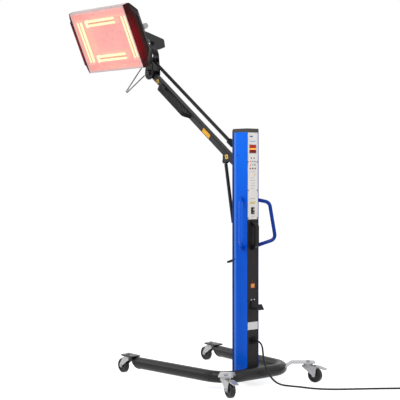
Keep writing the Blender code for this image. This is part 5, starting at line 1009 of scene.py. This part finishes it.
def dress_caps():
    """The swollen front lip of each moulded end cap."""
    for side, word in ((1, "right"), (-1, "left")):
        place = axes(-side * FACE_UP, side * FACE_ACROSS, FACE_NORMAL,
                     FACE_CENTRE + side * FACE_ACROSS * FACE_WIDTH / 2)
        lip = Shape().slab(place, CAP_LIP, *CAP_LIP_SPAN)
        lip.piece(f"cap_lip_{word}", "cap_plastic", "head", CAP_LIP_RIM, 50)


def dress_reflector():
    """The walls that close the flared reflector at both sides."""
    rim = FACE_HEIGHT / 2 - REFLECTOR_GAP - END_RISE_GAP
    floor = FACE_HEIGHT / 2 - REFLECTOR_GAP - REFLECTOR_FLARE - REFLECTOR_FLOOR_GAP
    depth = REFLECTOR_LIFT - REFLECTOR_DEPTH
    outline = ((rim, -END_TOP_DEPTH), (-rim, -END_TOP_DEPTH), (-floor, depth), (floor, depth))
    on_side = Matrix(((0, 0, 1, 0), (1, 0, 0, 0), (0, 1, 0, 0), (0, 0, 0, 1)))
    for side, word in ((1, "right"), (-1, "left")):
        wall = head_at(side * (FACE_WIDTH / 2 - END_SIDE_GAP), 0, 0) @ on_side
        end = Shape().slab(wall, outline, -END_HALF_WALL, END_HALF_WALL)
        end.piece(f"reflector_end_{word}", "reflector", "head")


def dress_frame():
    """The screws in the corners of the head's bright frame."""
    across, up = FACE_WIDTH / 2 - FRAME_SCREW_INSET[0], FACE_HEIGHT / 2 - FRAME_SCREW_INSET[1]
    heads("frame_screws", [head_at(u, v, 0) for u, v in four(across, up)], "head")


def dress_gland():
    """The six-sided nut on the head's gland, with its rounded nose."""
    about = Matrix.Rotation(pi, 4, "Y")
    gland = head_at(FACE_WIDTH / 2 - 2 * GLAND_RADIUS, GLAND_RISE, -SHELL_DEPTH) @ about
    nut = Shape().spin(gland, NUT_PROFILE, NUT_SIDES).spin(gland, NOSE_PROFILE, NOSE_SIDES)
    nut.piece("gland_nut", "gland", "head", NUT_RIM, 30)


def dress_shell():
    """The vents, rivets and bare plate on the head's back."""
    back = head_at(0, 0, -SHELL_DEPTH) @ Matrix.Rotation(pi, 4, "Y")
    vents = Shape()
    for side in (-1, 1):
        for number in range(VENT_COUNT):
            rise = (number - (VENT_COUNT - 1) / 2) * VENT_STEP
            vents.slab(back, rectangle(*VENT, side * VENT_SIDE, rise, VENT_CORNER), -UNDER, VENT_HEIGHT)
    vents.piece("shell_vents", "seam", "head", THIN_RIM)
    rivets = [back @ Matrix.Translation((u, v, 0)) for u, v in four(*RIVET_PLACE)]
    heads("shell_rivets", rivets, "head", bar=False)
    place = back @ Matrix.Translation(SHELL_PLATE_PLACE)
    bare = rectangle(*SHELL_PLATE)
    rim = Shape().ring(place, rectangle(*SHELL_PLATE_EDGE), bare, -UNDER, SHELL_EDGE_HEIGHT)
    rim.piece("shell_plate_rim", "seam", "head", FINE_RIM)
    plate("shell_plate", bare, SHELL_PLATE_HEIGHT, place, "label", FINE_RIM, "head")


# Mains lead

def smooth_route(route, spacing):
    """Points at a steady spacing on a smooth curve through a route's points."""
    places = [Vector(place) for place in route]
    fine = []
    for i in range(len(places) - 1):
        before = places[i - 1] if i else 2 * places[0] - places[1]
        after = places[i + 2] if i + 2 < len(places) else 2 * places[-1] - places[-2]
        for step in range(ROUTE_STEPS):
            t = step / ROUTE_STEPS
            fine.append(0.5 * (2 * places[i] + (places[i + 1] - before) * t
                               + (2 * before - 5 * places[i] + 4 * places[i + 1] - after) * t * t
                               + (3 * places[i] - before - 3 * places[i + 1] + after) * t ** 3))
    fine.append(places[-1])
    total = sum((b - a).length for a, b in zip(fine, fine[1:]))
    count = ceil(total / spacing)
    points, walked, target = [fine[0]], 0.0, total / count
    for first, second in zip(fine, fine[1:]):
        span = (second - first).length
        while walked + span >= target and len(points) < count:
            points.append(first.lerp(second, (target - walked) / span))
            target += total / count
        walked += span
    points.append(fine[-1])
    return points


def coil_centre():
    """The coil's middle, the way from its first turn to it, and the radius of that turn."""
    heading = Vector((cos(LEAD_HEADING), sin(LEAD_HEADING), 0))
    inward = Vector((heading.y, -heading.x, 0))
    outer = COIL_MEAN_RADIUS + COIL_PITCH * COIL_TURNS / 4
    return Vector((*LEAD_ROUTE[-1][:2], 0)) + heading * LEAD_TO_COIL + inward * outer, inward, outer


def coil_path():
    """Two layers of loops: in along the floor, up half a turn, and out again on top."""
    centre, inward, outer = coil_centre()
    half_turns = COIL_TURNS / 2
    start = atan2(-inward.y, -inward.x)
    points = []
    for step in range(COIL_TURNS * COIL_POINTS + 1):
        turn = step / COIL_POINTS
        radius = outer - COIL_PITCH * min(turn, COIL_TURNS - turn)
        climb = min(1.0, max(0.0, (turn - half_turns + CLIMB_TURNS / 2) / CLIMB_TURNS))
        height = CORD_REST + COIL_PITCH * climb
        angle = start - 2 * pi * turn
        points.append(centre + Vector((radius * cos(angle), radius * sin(angle), height)))
    return points


def coil_tail(points):
    """The end of the lead, eased down from the coil to the floor where the plug lies."""
    heading = points[-1] - points[-2]
    heading.z = 0
    heading.normalize()
    outward = Vector((heading.y, -heading.x, 0))
    drop = points[-1].z - PLUG_AXIS
    tail = []
    for step in range(1, TAIL_STEPS + 1):
        share = step / TAIL_STEPS
        ease = share * share * (3 - 2 * share)
        tail.append(points[-1] + heading * TAIL_LENGTH * share - outward * TAIL_SWING * share * share
                    - Vector((0, 0, drop * ease)))
    last = tail[-1] - tail[-2]
    last.z = 0
    tail.append(tail[-1] + last.normalized() * 2 * CORD_RADIUS)
    return tail


def coil_ties():
    """Two flat straps round the coil's turns."""
    centre, _, outer = coil_centre()
    inner = outer - COIL_PITCH * COIL_TURNS / 2
    thick = 2 * CORD_REST + COIL_PITCH
    width = outer - inner + 2 * CORD_RADIUS + STRAP_SLACK[0]
    height = thick + STRAP_SLACK[1]
    outside = rectangle(width + STRAP_WALL[0], height + STRAP_WALL[1], 0, STRAP_RISE, STRAP_CORNERS[0])
    inside = rectangle(width, height, 0, 0, STRAP_CORNERS[1])
    ties = []
    for number, degrees in enumerate(STRAP_DEGREES, 1):
        out = Vector((cos(radians(degrees)), sin(radians(degrees)), 0))
        place = axes(out, Z, out.cross(Z), centre + out * (outer + inner) / 2 + Z * thick / 2)
        strap = Shape().ring(place, outside, inside, -STRAP_HALF_WIDTH, STRAP_HALF_WIDTH)
        ties.append(strap.piece(f"coil_strap_{number}", "strap", "stand", FINE_RIM))
    return ties


def mains_lead():
    """One unbroken lead from the inlet to the plug."""
    loops = coil_path()
    entry = loops[0] + (loops[0] - loops[1]).normalized() * 2 * CORD_RADIUS
    lead_in = entry + (entry - loops[0]).normalized() * 4 * CORD_RADIUS
    route = smooth_route([*LEAD_ROUTE, tuple(lead_in)], LEAD_SPACING)
    path = [ORIGIN + point for point in [*route, entry, *loops, *coil_tail(loops)]]
    curve = bpy.data.curves.new("mains_lead", "CURVE")
    curve.dimensions = "3D"
    curve.bevel_depth = CORD_RADIUS
    curve.bevel_resolution = 3
    curve.use_fill_caps = True
    spline = curve.splines.new("POLY")
    spline.points.add(len(path) - 1)
    for point, place in zip(spline.points, path):
        point.co = (*place, 1)
    curve.materials.append(FINISHES["rubber"])
    made = linked("mains_lead", curve)
    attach(made, "stand")
    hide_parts("cord_lead", "cord_coil")
    coil_ties()
    return made


# Studio

SEEN = ("Is Camera Ray", "Is Glossy Ray", "Is Transmission Ray")


def when_seen(tree, low, high):
    """High for the kinds of ray in SEEN, and low for the others."""
    path = tree.nodes.new("ShaderNodeLightPath")
    total = path.outputs[SEEN[0]]
    for name in SEEN[1:]:
        most = tree.nodes.new("ShaderNodeMath")
        most.operation = "MAXIMUM"
        tree.links.new(total, most.inputs[0])
        tree.links.new(path.outputs[name], most.inputs[1])
        total = most.outputs["Value"]
    made = tree.nodes.new("ShaderNodeMapRange")
    made.inputs["To Min"].default_value = low
    made.inputs["To Max"].default_value = high
    tree.links.new(total, made.inputs["Value"])
    return made.outputs["Result"]


def studio():
    """A pale floor, soft lamps and a white background for the camera."""
    bpy.ops.mesh.primitive_plane_add(size=FLOOR_SIZE, location=(0, 0, 0))
    floor = bpy.context.object
    floor.name = "floor"
    material = bpy.data.materials.new("floor_white")
    material.use_nodes = True
    tree = material.node_tree
    shader = tree.nodes["Principled BSDF"]
    shader.inputs["Base Color"].default_value = FLOOR_COLOUR
    shader.inputs["Roughness"].default_value = FLOOR_ROUGHNESS
    shader.inputs["Specular IOR Level"].default_value = 0.0
    shader.inputs["Emission Color"].default_value = WHITE
    tree.links.new(when_seen(tree, 0.0, FLOOR_LIFT), shader.inputs["Emission Strength"])
    floor.data.materials.append(material)

    world = bpy.data.worlds.new("studio")
    world.use_nodes = True
    bpy.context.scene.world = world
    tree = world.node_tree
    background = tree.nodes["Background"]
    background.inputs["Color"].default_value = WHITE
    tree.links.new(when_seen(tree, WORLD_LIGHT, 1.0), background.inputs["Strength"])

    for name, place, target, size, power in SOFT_LAMPS:
        light = bpy.data.lights.new(name, "AREA")
        light.shape = "RECTANGLE"
        light.size, light.size_y = size
        light.energy = power
        lamp = linked(name, light)
        lamp.location = here(*place)
        lamp.rotation_euler = (here(*target) - here(*place)).to_track_quat("-Z", "Y").to_euler()


def camera():
    """The photograph's camera."""
    data = bpy.data.cameras.new("photo_camera")
    data.sensor_width = SENSOR_WIDTH
    data.lens = LENS
    data.shift_y = CAMERA_SHIFT
    data.clip_end = CAMERA_REACH
    made = linked("photo_camera", data)
    made.location = here(*CAMERA_PLACE)
    made.rotation_euler = Vector(CAMERA_LOOK).to_track_quat("-Z", "Y").to_euler()
    bpy.context.scene.camera = made
    bpy.context.scene.view_settings.view_transform = "Standard"


dress_nodes()
dress_display()
dress_panel()
dress_switch()
dress_cover()
dress_column()
dress_arm()
dress_lamps()
dress_caps()
dress_gauge()
dress_reflector()
dress_frame()
dress_gland()
dress_shell()
mains_lead()
studio()
camera()
